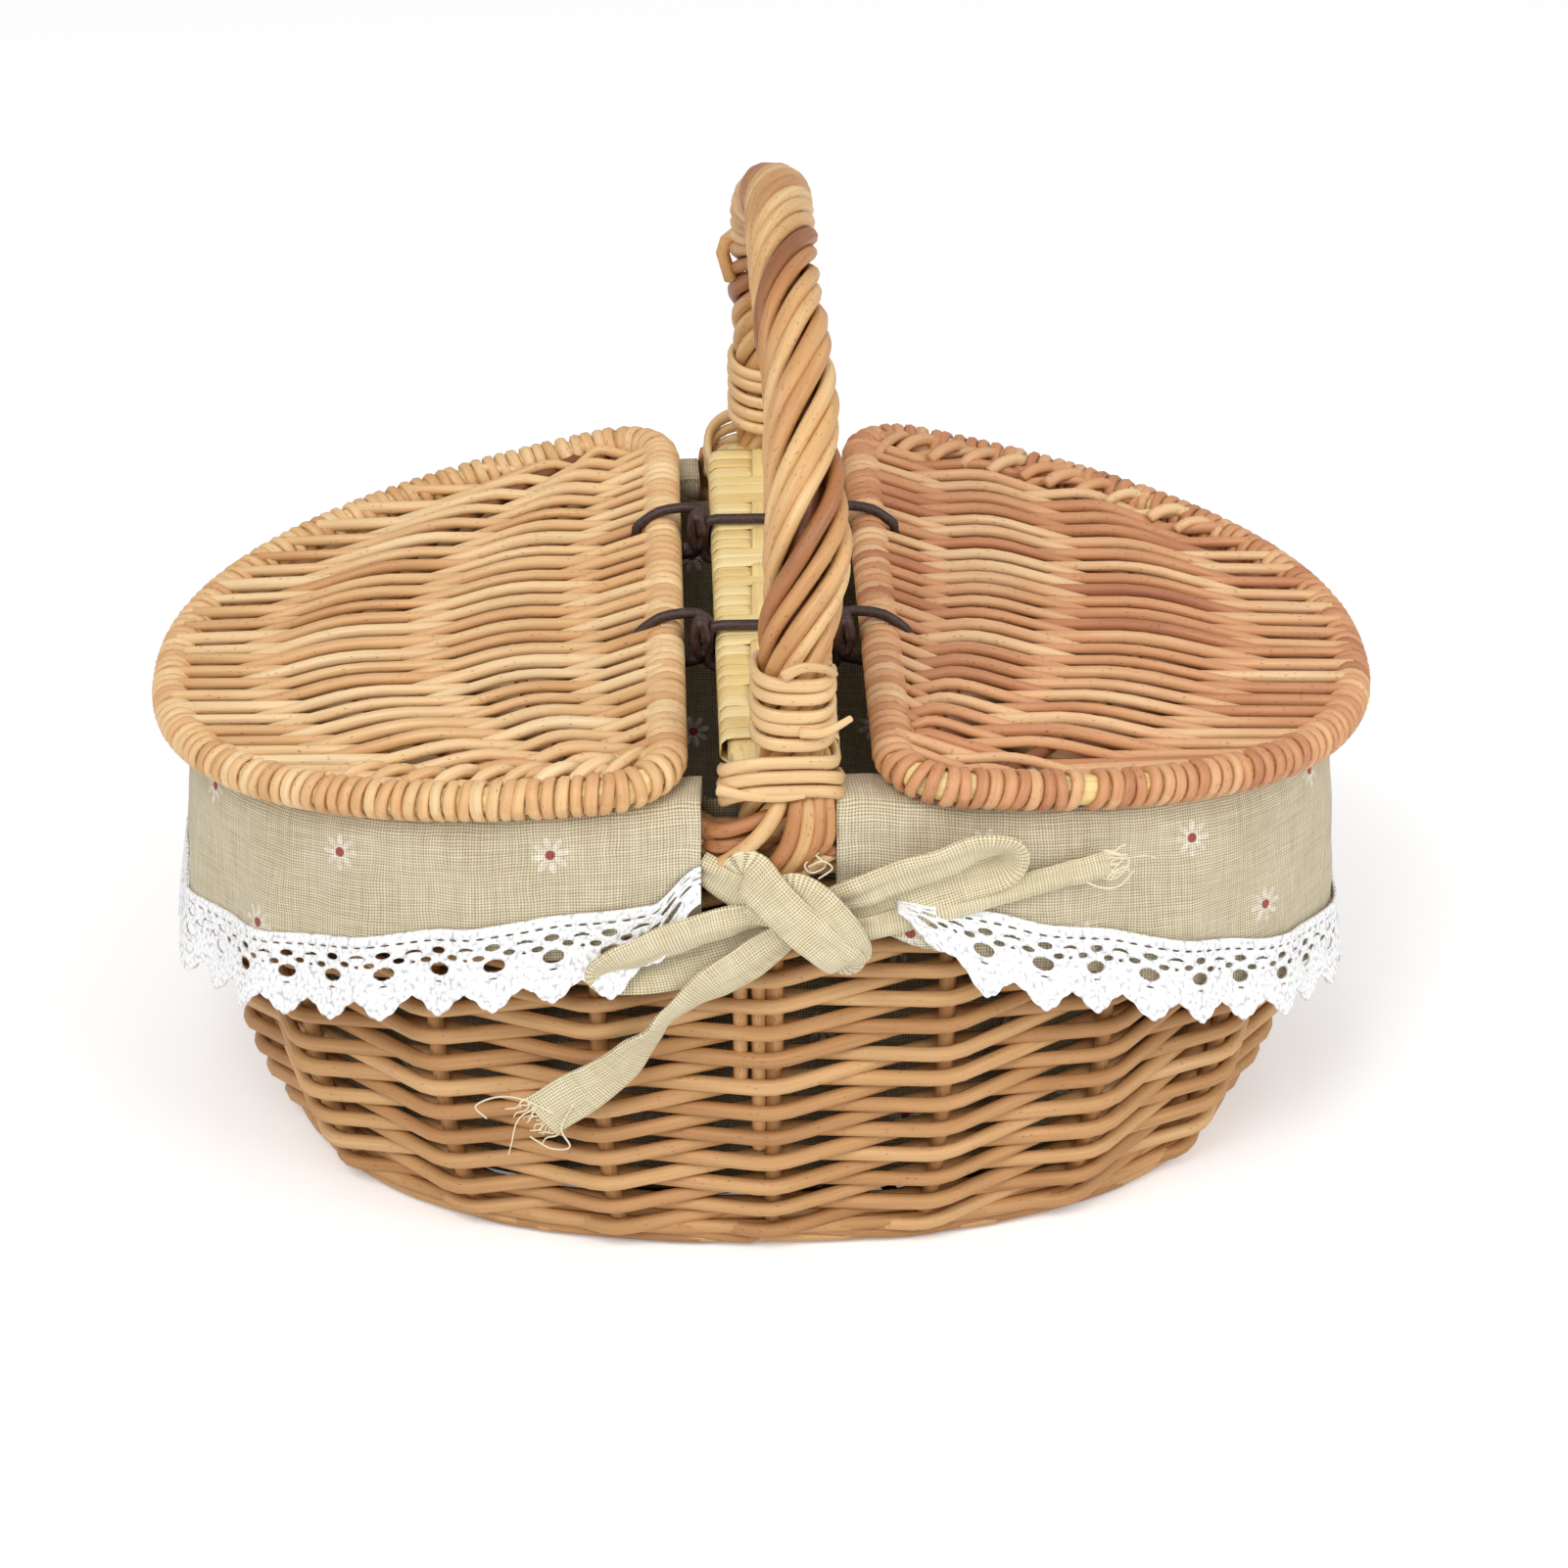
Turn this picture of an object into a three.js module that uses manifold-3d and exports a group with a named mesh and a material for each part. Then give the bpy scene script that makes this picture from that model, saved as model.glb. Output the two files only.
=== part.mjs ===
// A willow picnic hamper: a woven oval body, two hinged lids, a rope handle over a
// wrapped cross bar, and a linen liner whose lace-edged skirts are tied with bows.
// Millimetres, +Z up, +X to the right, -Y to the front. The origin is the centre of the base.
import * as THREE from "three";
import { mergeVertices } from "three/addons/utils/BufferGeometryUtils.js";
import Module from "manifold-3d";

const wasm = await Module();
wasm.setup();

// Clearances
const fitGap = 0.3;          // between pieces that touch or are stacked
const tunnelGap = 0.4;       // round a straight rod in its channel
const curvedTunnelGap = 0.7; // round a curved rod in its channel

// Body, an oval that swells from the base to the rim
const rimHalfLength = 178;
const rimHalfWidth = 122.5;
const baseHalfLength = 153;
const baseHalfWidth = 113.5;
const ovalPower = 2.3;
const flareHeight = 28;
const bellySwell = 2.5;
const wallThickness = 16;
const wallColumns = 38;
const baseThickness = 9;
const footHeight = 12;
const rimDepth = 25;
const rowPitch = 9.54;       // from one rod to the next in front of a stake
const rowHollow = 3.2;       // from a rod's front back to the hollow over it

// Base sticks, let into the top of the base
const stickWidth = 6;
const stickDepth = 4;
const longStickDepth = 3;
const longStickCount = 3;
const longStickPitch = 34;
const crossStickCount = 5;
const crossStickPitch = 42;
const stickMargin = 12;

// Side stakes
const stakePlaces = 18;
const stakeRadius = 2.6;

// Lids
const lidPlaneHeight = 172;
const lidEndOverhang = 8;    // past the rim at the ends
const lidSideOverhang = 3.5; // past the rim at the front and back
const lidHalfLength = rimHalfLength + lidEndOverhang;
const lidHalfWidth = rimHalfWidth + lidSideOverhang;
const lidPower = 2.28;
const lidSlope = 0.155;
const lidCornerRadius = 17;
const lidPanelThickness = { atRibs: 12, between: 7 };
const borderRadius = 6.5;
const frameRadius = 3.5;
const ribRadius = 2.8;
// Each rib stands at a share of the way from the hinge thongs to the lid's outer end, and
// its ends bow in towards the inner edge.
const leftRibs = [{ share: 0.2, bow: 34 }, { share: 0.604, bow: 86 }];
const rightRibs = [{ share: 0.133, bow: 16 }, { share: 0.514, bow: 46 }];
const ribEndRoom = 3;       // from the hoop to a rib's slanted end
const tunnelEndGap = 1;      // from a rib's channel to the border's middle
const ribSteps = 8;
const panelStations = [-1, -0.75, -0.5, -0.25, 0.25, 0.5, 0.75, 1];
const frameWindows = [48, 84];
const windowLength = 6;

// Cross bar between the lids
const barCentre = 2.5;
const barHalfWidth = 18;
const barThickness = 10.3;
const barTopRise = 4.3;      // from the lids' plane
const barTop = lidPlaneHeight + barTopRise;
const wrapThickness = 1;
const wrapEndGap = 3;        // from the chip to the handle's foot
const barEndGap = 0.8;       // from the core to the handle's foot
const tongueInset = 2;
const tongueWidth = 6.8;
const tongueLength = 14;
const tongueThickness = 4.6;
const leaderWidth = 5;
const leaderThickness = 0.9;
const lidGap = 9;

// Handle
const handleInset = 7.5;     // from the rim to the feet's middles
const handleHalfSpan = rimHalfWidth - handleInset;
const archStartRise = 28;    // from the lids' plane
const archStart = lidPlaneHeight + archStartRise;
const archRise = 94.5;
const ropeRadius = 12;
const ropeFootRadius = 9;
const ropeFootSpread = 14;
const handleCoreRadius = 3.5;
const ropeSwellRise = 9;     // from the arch's start to where the rope swells
const ropeSwellHeight = 18;
const handleTopX = 2.5;
const frontLeg = { foot: 7, swing: 9 };
const backLeg = { foot: 4.5, swing: 3.5 };
const handleRootHeight = 70;

// Bindings that tie the bar's ends to the handle's feet
const caneRadius = 1.75;
const bindingStepsPerTurn = 12;
const bindingSides = 5;
const bindingTurns = 7.5;
const lowTurnTilt = 7;
const lowTurnPitch = 4.8;
const lowTurnGap = { x: 1.85, y: 0.55 }; // to the foot at its sides and its front
const lowTurnLift = 1.15;    // from the bar's top to the last low turn
const highTurnPitch = 4.9;
const highTurnGap = 0.95;
const highTurnRise = 8.4;    // from the bar's top to the first high turn
const bindingRoom = 10.2;    // under the bar, for the low turns

// Leather thongs of the lid hinges
const thongRadius = 1.7;
const thongPlaces = [43, -34];
const knotRadius = 2.6;
const knotLength = 12;
const thongReach = 10.5;
const thongSeat = 1.5;       // from the border to the middle of a thong's loop

// Liner, skirts and lace
const clothThickness = 1.2;
const bagGap = 0.6;
const skirtGap = 0.9;
const skirtSeatGap = 0.8;
const slitMargin = 3.5;      // from the bar's side to a skirt's edge
const slitHalfWidth = barHalfWidth + slitMargin;
const skirtFlareEnd = 4.5;
const skirtFlareFront = 1;
const foldDepth = 2;
const foldLength = 42;
const skirtDrop = { atSlit: 39, atLeftEnd: 83, atRightEnd: 97 };
const skirtColumns = 32;
const laceDepth = 22;
const laceThickness = 1.1;
const scallopLength = 17;
const scallopDepth = 4;

// Bows that tie the skirts at the front and back
const bowDrop = 44;          // below the lids' plane
const bowHeight = lidPlaneHeight - bowDrop;
const bowCentre = 7;
const bowOffset = 5;
const knotSize = { x: 12, y: 6, z: 9 };
const knotSeat = 1.1;         // how far the knot settles between two rods of the side
const stripWidth = 17;
const loopThickness = 6;
const tailThickness = 2.6;

// A closed surface through rings of equal point counts. An open run gets an end cap at
// each end; a closed run joins its last ring to its first.
function loft(rings, closed) {
  const count = rings[0].length;
  const points = rings.flat().flatMap((p) => [p.x, p.y, p.z]);
  const faces = [];
  const spans = closed ? rings.length : rings.length - 1;
  for (let i = 0; i < spans; i += 1) {
    const here = i * count;
    const next = ((i + 1) % rings.length) * count;
    for (let j = 0; j < count; j += 1) {
      const k = (j + 1) % count;
      faces.push(here + j, here + k, next + k);
      faces.push(here + j, next + k, next + j);
    }
  }
  if (!closed) {
    for (const end of [0, rings.length - 1]) {
      const middle = new THREE.Vector3();
      rings[end].forEach((p) => middle.add(p));
      middle.divideScalar(count);
      const hub = points.length / 3;
      points.push(middle.x, middle.y, middle.z);
      for (let j = 0; j < count; j += 1) {
        const a = end * count + j;
        const b = end * count + ((j + 1) % count);
        if (end === 0) faces.push(hub, b, a);
        else faces.push(hub, a, b);
      }
    }
  }
  const geometry = new THREE.BufferGeometry();
  geometry.setAttribute("position", new THREE.Float32BufferAttribute(points, 3));
  geometry.setIndex(faces);
  return outward(geometry);
}

// Turns a closed surface so that its faces point out.
function outward(geometry) {
  const p = geometry.getAttribute("position");
  const index = geometry.index.array;
  const a = new THREE.Vector3();
  const b = new THREE.Vector3();
  const c = new THREE.Vector3();
  let volume = 0;
  for (let i = 0; i < index.length; i += 3) {
    a.fromBufferAttribute(p, index[i]);
    b.fromBufferAttribute(p, index[i + 1]);
    c.fromBufferAttribute(p, index[i + 2]);
    volume += a.dot(b.cross(c));
  }
  if (volume < 0) {
    for (let i = 0; i < index.length; i += 3) {
      [index[i + 1], index[i + 2]] = [index[i + 2], index[i + 1]];
    }
  }
  return geometry;
}

function solidOf(geometry) {
  const bare = geometry.clone();
  bare.deleteAttribute("normal");
  bare.deleteAttribute("uv");
  const merged = mergeVertices(bare, 1e-4);
  const mesh = new wasm.Mesh({
    numProp: 3,
    vertProperties: new Float32Array(merged.getAttribute("position").array),
    triVerts: new Uint32Array(merged.index.array),
  });
  return new wasm.Manifold(mesh);
}

function geometryOf(solid) {
  const mesh = solid.getMesh();
  const geometry = new THREE.BufferGeometry();
  geometry.setAttribute("position", new THREE.BufferAttribute(mesh.vertProperties, 3));
  geometry.setIndex(new THREE.BufferAttribute(mesh.triVerts, 1));
  return geometry;
}

function joined(geometries) {
  return geometries.map(solidOf).reduce((whole, next) => whole.add(next));
}

function cut(solid, tools) {
  return tools.map(solidOf).reduce((rest, tool) => rest.subtract(tool), solid);
}

function box(x0, x1, y0, y1, z0, z1) {
  const geometry = new THREE.BoxGeometry(x1 - x0, y1 - y0, z1 - z0);
  return geometry.translate((x0 + x1) / 2, (y0 + y1) / 2, (z0 + z1) / 2);
}

function circleShape(radius, sides) {
  const points = [];
  for (let i = 0; i < sides; i += 1) {
    const a = (2 * Math.PI * i) / sides;
    points.push(new THREE.Vector2(radius * Math.cos(a), radius * Math.sin(a)));
  }
  return new THREE.Shape(points);
}

// A rod of round section along a list of points.
function rod(points, radius, sides, steps) {
  const path = new THREE.CatmullRomCurve3(points);
  return new THREE.ExtrudeGeometry(circleShape(radius, sides), { steps, extrudePath: path });
}

// A rod along a closed loop of points, or an open one with ends, with one normal to
// turn its section by.
function cordRings(points, radius, sides, side, closed) {
  const rings = [];
  const last = points.length - 1;
  for (let i = 0; i <= last; i += 1) {
    const before = closed ? points[(i + last) % (last + 1)] : points[Math.max(0, i - 1)];
    const after = closed ? points[(i + 1) % (last + 1)] : points[Math.min(last, i + 1)];
    const along = after.clone().sub(before).normalize();
    const across = side.clone().addScaledVector(along, -side.dot(along)).normalize();
    const up = new THREE.Vector3().crossVectors(along, across);
    const ring = [];
    for (let j = 0; j < sides; j += 1) {
      const a = (2 * Math.PI * (j + 0.5)) / sides;
      ring.push(points[i].clone()
        .addScaledVector(across, radius * Math.cos(a))
        .addScaledVector(up, radius * Math.sin(a)));
    }
    rings.push(ring);
  }
  return rings;
}

function smooth(from, to, value) {
  return THREE.MathUtils.smoothstep(value, from, to);
}

function mix(a, b, share) {
  return a + (b - a) * share;
}

// The body's outside at a height, as half length and half width.
const lidUnderside = lidPlaneHeight - borderRadius;
const lidInnerEdge = barHalfWidth + lidGap;

function lidUndersideAt(x) {
  return lidUnderside - lidSlope * Math.max(0, Math.abs(x - barCentre) - lidInnerEdge);
}

function rimHighAt(x) {
  return lidUndersideAt(x) - clothThickness - skirtSeatGap - fitGap;
}

function halfLengthAt(z) {
  return rimHalfLength - (rimHalfLength - baseHalfLength) * Math.exp(-z / flareHeight);
}

function halfWidthAt(z) {
  const swell = bellySwell * Math.sin(Math.PI * Math.min(1, z / lidUnderside));
  const flare = (rimHalfWidth - baseHalfWidth) * Math.exp(-z / flareHeight);
  return rimHalfWidth - flare + swell;
}

// A point on the wall at oval angle t and height z, moved outward by offset.
function wallPoint(t, z, offset) {
  const a = halfLengthAt(z);
  const b = halfWidthAt(z);
  const c = Math.cos(t);
  const s = Math.sin(t);
  const x = a * Math.sign(c) * Math.abs(c) ** (2 / ovalPower);
  const y = b * Math.sign(s) * Math.abs(s) ** (2 / ovalPower);
  const nx = (Math.sign(c) * Math.abs(c) ** (2 - 2 / ovalPower)) / a;
  const ny = (Math.sign(s) * Math.abs(s) ** (2 - 2 / ovalPower)) / b;
  const length = Math.hypot(nx, ny);
  return new THREE.Vector3(x + (offset * nx) / length, y + (offset * ny) / length, z);
}

// The oval angle of the front or back wall at a given x.
function angleAt(x, side) {
  const c = Math.sign(x) * Math.abs(x / rimHalfLength) ** (ovalPower / 2);
  return side * Math.acos(c);
}

// Oval angles spaced evenly along the rim, from t0 to t1.
function evenAngles(t0, t1, count, includeEnd) {
  const fine = 720;
  const lengths = [0];
  let before = wallPoint(t0, rimHalfWidth, 0);
  for (let i = 1; i <= fine; i += 1) {
    const here = wallPoint(mix(t0, t1, i / fine), rimHalfWidth, 0);
    lengths.push(lengths[i - 1] + here.distanceTo(before));
    before = here;
  }
  const angles = [];
  const spans = includeEnd ? count - 1 : count;
  let i = 0;
  for (let k = 0; k < count; k += 1) {
    const wanted = (lengths[fine] * k) / spans;
    while (i < fine - 1 && lengths[i + 1] < wanted) i += 1;
    const share = (wanted - lengths[i]) / (lengths[i + 1] - lengths[i]);
    angles.push(mix(t0, t1, (i + share) / fine));
  }
  return angles;
}

const frontAngle = -Math.PI / 2;
const columnAngles = evenAngles(frontAngle, frontAngle + 2 * Math.PI, wallColumns, false);
const dipEdges = [];
for (const reach of [slitHalfWidth + 2.5, slitHalfWidth + 7]) {
  for (const way of [-1, 1]) {
    dipEdges.push(angleAt(barCentre + way * reach, -1));
    dipEdges.push(angleAt(barCentre + way * reach, 1));
  }
}
const turn = 2 * Math.PI;
const wholeTurn = (t) => ((((t - frontAngle) % turn) + turn) % turn) + frontAngle;
const wallAngles = columnAngles
  .filter((t) => dipEdges.every((edge) => Math.abs(wholeTurn(t) - wholeTurn(edge)) > 0.012))
  .concat(dipEdges.map(wholeTurn))
  .sort((a, b) => a - b);

// The rim dips where the handle's feet stand on it.
const barBottom = barTop - barThickness;
const rimLow = barBottom - bindingRoom;

function rimTopAt(t, x) {
  const away = Math.abs(x - barCentre);
  const atHandle = away < slitHalfWidth + 4.5;
  return atHandle ? rimLow : rimHighAt(x);
}

function rimUnderAt(x) {
  return rimHighAt(x) - rimDepth;
}

// One ring round the body: every wall angle at a height rule and an offset.
function bodyRing(heightAt, offset) {
  return wallAngles.map((t) => {
    const flat = wallPoint(t, rimHalfWidth, 0);
    return wallPoint(t, heightAt(t, flat.x), offset);
  });
}

const level = (z) => () => z;

const hamper = new THREE.Group();

function finish(colour, roughness) {
  return new THREE.MeshStandardMaterial({ color: colour, roughness, metalness: 0 });
}

const willowLight = 0xd2a56a;
const willowBrown = 0xb47a42;
const willowDark = 0x9a6234;
const paleChip = 0xe2cd94;
const linen = 0xcfc3ab;
const laceWhite = 0xf1f0ec;
const darkLeather = 0x3a2620;

function add(name, shape, colour, roughness, parent) {
  const geometry = shape.isBufferGeometry ? shape : geometryOf(shape);
  const flat = geometry.index ? geometry.toNonIndexed() : geometry;
  flat.computeVertexNormals();
  const mesh = new THREE.Mesh(flat, finish(colour, roughness));
  mesh.name = name;
  parent.add(mesh);
  return mesh;
}

// Base: a woven oval with its sticks let into its top face.
function baseSticks(growth) {
  const sticks = [];
  const top = baseThickness + (growth > 0 ? 2 : 0);
  const bottom = baseThickness - stickDepth - growth;
  const half = stickWidth / 2 + growth;
  const a = baseHalfLength - stickMargin + growth;
  const b = baseHalfWidth - stickMargin + growth;
  for (let i = 0; i < longStickCount; i += 1) {
    const y = (i - (longStickCount - 1) / 2) * longStickPitch;
    const reach = a * (1 - Math.abs(y / b) ** ovalPower) ** (1 / ovalPower);
    const raised = stickDepth - longStickDepth;
    sticks.push(box(-reach, reach, y - half, y + half, bottom + raised, top - raised / 2));
  }
  for (let i = 0; i < crossStickCount; i += 1) {
    const x = (i - (crossStickCount - 1) / 2) * crossStickPitch;
    const reach = b * (1 - Math.abs(x / a) ** ovalPower) ** (1 / ovalPower);
    sticks.push(box(x - half, x + half, -reach, reach, bottom, top));
  }
  return joined(sticks);
}

function makeBase() {
  const disc = loft([
    bodyRing(level(0), 0),
    bodyRing(level(baseThickness / 2), 0),
    bodyRing(level(baseThickness), 0),
  ], false);
  add("base_weave", solidOf(disc).subtract(baseSticks(fitGap)), willowBrown, 0.8, hamper);
  add("base_sticks", baseSticks(0), willowDark, 0.75, hamper);
}

// The wall: a foot wale on the base, the woven side on it, the braided rim on top, and
// the stakes that run up through them.
const footBottom = baseThickness + fitGap;
const footTop = footBottom + footHeight;
const sideBottom = footTop + fitGap;

const stakeSteps = 3;

function stakePath(t, bottom, top) {
  const points = [];
  for (let i = 0; i <= stakeSteps; i += 1) {
    const share = (i / stakeSteps) ** 1.5;
    points.push(wallPoint(t, mix(bottom, top, share), -wallThickness / 2));
  }
  return points;
}

function stakeBottomAndTop(t) {
  const x = wallPoint(t, rimHalfWidth, 0).x;
  return [footBottom + stakeRadius * 0.6, rimUnderAt(x) - 3 * fitGap];
}

// A stake's channel: the stake's own path, carried on straight past both of its ends.
function stakeTunnel(t) {
  const [bottom, top] = stakeBottomAndTop(t);
  const points = stakePath(t, bottom, top);
  const reach = points[0].distanceTo(points[points.length - 1]) / stakeSteps;
  const below = points[0].clone().sub(points[1]).setLength(reach).add(points[0]);
  const last = points.length - 1;
  const above = points[last].clone().sub(points[last - 1]).setLength(reach).add(points[last]);
  const radius = stakeRadius + curvedTunnelGap;
  return rod([below, ...points, above], radius, 6, stakeSteps + 2);
}

const stakeAngles = evenAngles(frontAngle, frontAngle + turn, stakePlaces, false);
const sideStakes = stakeAngles.filter((t, k) => k !== 0 && k !== stakePlaces / 2);

// The woven side. Its rods run straight from one stake to the next and bulge in front of
// each, with a hollow between the rows. Its top is cut to the rim's underside.
function wovenSide() {
  const top = rimUnderAt(barCentre) - fitGap;
  const rows = Math.ceil((top - sideBottom) / rowPitch);
  const highest = sideBottom + rows * rowPitch;
  const outside = [];
  for (let i = 0; i <= 2 * rows; i += 1) {
    const z = sideBottom + (i * rowPitch) / 2;
    outside.push(stakeAngles.map((t) => wallPoint(t, z, i % 2 === 1 ? 0 : -rowHollow)));
  }
  const heights = [0, 1, 2, 3].map((i) => (i / 3) ** 1.3);
  const room = loft([
    bodyRing(level(sideBottom - fitGap), -wallThickness),
    ...heights.map((share) => (
      bodyRing((t, x) => mix(sideBottom, rimUnderAt(x) - fitGap, share), -wallThickness))),
    bodyRing(level(highest + rowPitch), -wallThickness),
  ], false);
  const past = wallThickness / 2;
  const above = loft([
    bodyRing((t, x) => rimUnderAt(x) - fitGap, past),
    bodyRing(level(highest + rowPitch), past),
    bodyRing(level(highest + rowPitch), -wallThickness - past),
    bodyRing((t, x) => rimUnderAt(x) - fitGap, -wallThickness - past),
  ], true);
  return cut(solidOf(loft(outside, false)), [room, above]);
}

function makeWall() {
  const stakeTunnels = sideStakes.map(stakeTunnel);
  const legTunnels = [handleCoreRod(tunnelGap)];

  const foot = loft([
    bodyRing(level(footBottom), 0),
    bodyRing(level(footTop), 0),
    bodyRing(level(footTop), -wallThickness),
    bodyRing(level(footBottom), -wallThickness),
  ], true);
  add("foot_wale", cut(solidOf(foot), stakeTunnels), willowBrown, 0.8, hamper);

  const side = cut(wovenSide(), stakeTunnels.concat(legTunnels));
  add("side_weave", side, willowBrown, 0.8, hamper);

  const crown = 4;
  const rim = loft([
    bodyRing((t, x) => rimUnderAt(x), 0),
    bodyRing((t, x) => rimTopAt(t, x) - crown, 0),
    bodyRing((t, x) => rimTopAt(t, x), -crown),
    bodyRing((t, x) => rimTopAt(t, x), crown - wallThickness),
    bodyRing((t, x) => rimTopAt(t, x) - crown, -wallThickness),
    bodyRing((t, x) => rimUnderAt(x), -wallThickness),
  ], true);
  add("rim_border", cut(solidOf(rim), legTunnels), willowBrown, 0.75, hamper);

  sideStakes.forEach((t, k) => {
    const [bottom, top] = stakeBottomAndTop(t);
    const name = `side_stake_${String(k + 1).padStart(2, "0")}`;
    add(name, rod(stakePath(t, bottom, top), stakeRadius, 6, stakeSteps), willowDark, 0.75, hamper);
  });
}

// Handle: a bent core rod inside a twisted rope of rods, with its roots in the wall.
function legAt(side) {
  return side < 0 ? frontLeg : backLeg;
}

const ropeFootHeight = rimLow + fitGap;

// The x of a leg's centre line at a height: upright in its foot, then out to its bind.
function legX(side, z) {
  const leg = legAt(side);
  const low = mix(barCentre, leg.foot, smooth(ropeFootHeight + 4, ropeFootHeight + 20, z));
  return mix(low, leg.swing, smooth(archStart - 10, archStart + 12, z));
}

// The handle's centre line, from the front foot over the top to the back foot.
function handlePoints() {
  const points = [];
  const rises = [0, 4, 11, 20, 30];
  rises.forEach((rise) => {
    const z = ropeFootHeight + rise;
    points.push(new THREE.Vector3(legX(-1, z), -handleHalfSpan, z));
  });
  const archSteps = 15;
  for (let i = 0; i <= archSteps; i += 1) {
    const a = (Math.PI * i) / archSteps;
    const y = -handleHalfSpan * Math.cos(a);
    const z = archStart + archRise * Math.sin(a);
    const x = mix(legX(y < 0 ? -1 : 1, z), handleTopX, smooth(0.45, 1, Math.sin(a)));
    points.push(new THREE.Vector3(x, y, z));
  }
  rises.reverse().forEach((rise) => {
    const z = ropeFootHeight + rise;
    points.push(new THREE.Vector3(legX(1, z), handleHalfSpan, z));
  });
  return points;
}

// The core's root on one side, from the rim's underside down into the wall.
function handleRoot(side, lowering) {
  const t = angleAt(barCentre, side);
  const top = rimUnderAt(barCentre);
  return [0, 0.5, 1].map((share) => {
    const p = wallPoint(t, mix(top, handleRootHeight - lowering, share), -wallThickness / 2);
    return new THREE.Vector3(barCentre, p.y, p.z);
  });
}

function directionAt(points, i) {
  const before = points[Math.max(0, i - 1)];
  const after = points[Math.min(points.length - 1, i + 1)];
  return after.clone().sub(before).normalize();
}

function handleSection(centre, along, halfX, halfOut, sides) {
  const across = new THREE.Vector3(1, 0, 0).addScaledVector(along, -along.x).normalize();
  const out = new THREE.Vector3().crossVectors(along, across);
  const ring = [];
  for (let j = 0; j < sides; j += 1) {
    const a = (turn * (j + 0.5)) / sides;
    ring.push(centre.clone()
      .addScaledVector(across, halfX * Math.cos(a))
      .addScaledVector(out, halfOut * Math.sin(a)));
  }
  return ring;
}

// The whole core rod, or the channel that it needs when it is grown by a clearance.
function handleCoreRod(growth) {
  const lowering = growth > 0 ? 4 : 0;
  const points = handleRoot(-1, lowering).reverse()
    .concat(handlePoints(), handleRoot(1, lowering));
  const radius = handleCoreRadius + growth;
  const rings = points.map((p, i) => handleSection(p, directionAt(points, i), radius, radius, 6));
  return loft(rings, false);
}

function makeHandle() {
  const points = handlePoints();
  const swellStart = archStart + ropeSwellRise;
  const rings = points.map((p, i) => {
    const full = smooth(swellStart, swellStart + ropeSwellHeight, p.z);
    const spread = 1 - smooth(ropeFootHeight + 2, ropeFootHeight + 10, p.z);
    const halfOut = mix(ropeFootRadius, ropeRadius, full);
    const halfX = mix(halfOut, ropeFootSpread, spread);
    return handleSection(p, directionAt(points, i), halfX, halfOut, 8);
  });
  const rope = cut(solidOf(loft(rings, false)), [handleCoreRod(tunnelGap)]);
  add("handle_rope", rope, willowLight, 0.65, hamper);
  add("handle_core", handleCoreRod(0), willowDark, 0.7, hamper);
}

// Cross bar: a flat core with a tongue at each end, wrapped in flat chip, with a leader
// strip along its top that stops where the thongs cross.
const wrapHalfLength = handleHalfSpan - ropeFootRadius - wrapEndGap;

function makeBar() {
  const coreHalf = barHalfWidth - wrapThickness - fitGap;
  const coreTop = barTop - wrapThickness - fitGap;
  const coreBottom = barBottom + wrapThickness + fitGap;
  const coreEnd = handleHalfSpan - ropeFootRadius - barEndGap;
  const left = barCentre - coreHalf;
  const right = barCentre + coreHalf;
  const tongueLeft = left + tongueInset;
  const pieces = [box(left, right, -coreEnd, coreEnd, coreBottom, coreTop)];
  for (const side of [-1, 1]) {
    const from = side * (coreEnd - 2);
    const to = side * (coreEnd + tongueLength);
    const [y0, y1] = side < 0 ? [to, from] : [from, to];
    pieces.push(box(tongueLeft, tongueLeft + tongueWidth, y0, y1, coreTop - tongueThickness,
      coreTop));
  }
  add("bar_core", joined(pieces), willowDark, 0.75, hamper);

  const sleeve = box(barCentre - barHalfWidth, barCentre + barHalfWidth, -wrapHalfLength,
    wrapHalfLength, barBottom, barTop);
  const leader = [];
  const stops = [-wrapHalfLength, ...thongPlaces.slice().sort((a, b) => a - b), wrapHalfLength];
  for (let i = 0; i + 1 < stops.length; i += 1) {
    const clear = thongRadius + fitGap;
    const y0 = stops[i] + (i === 0 ? 0 : clear);
    const y1 = stops[i + 1] - (i + 2 === stops.length ? 0 : clear);
    leader.push(box(barCentre - leaderWidth / 2, barCentre + leaderWidth / 2, y0, y1,
      barTop - wrapThickness / 2, barTop + leaderThickness));
  }
  const hollow = box(left - fitGap, right + fitGap, -wrapHalfLength - 2, wrapHalfLength + 2,
    coreBottom - fitGap, coreTop + fitGap);
  add("bar_wrap", cut(joined([sleeve, ...leader]), [hollow]), paleChip, 0.55, hamper);
}

// Bindings: each is one unbroken cane. Its low turns go round the foot and the bar's
// tongue and under the bar, and its high turns go round the handle's foot alone.
const lastLowFront = barTop + caneRadius + lowTurnLift;
const highTurnStart = barTop + highTurnRise;
const lowHalfX = ropeFootSpread + caneRadius + lowTurnGap.x;
const lowHalfY = ropeFootRadius + caneRadius + lowTurnGap.y;
const highHalf = ropeFootRadius + caneRadius + highTurnGap;

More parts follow.
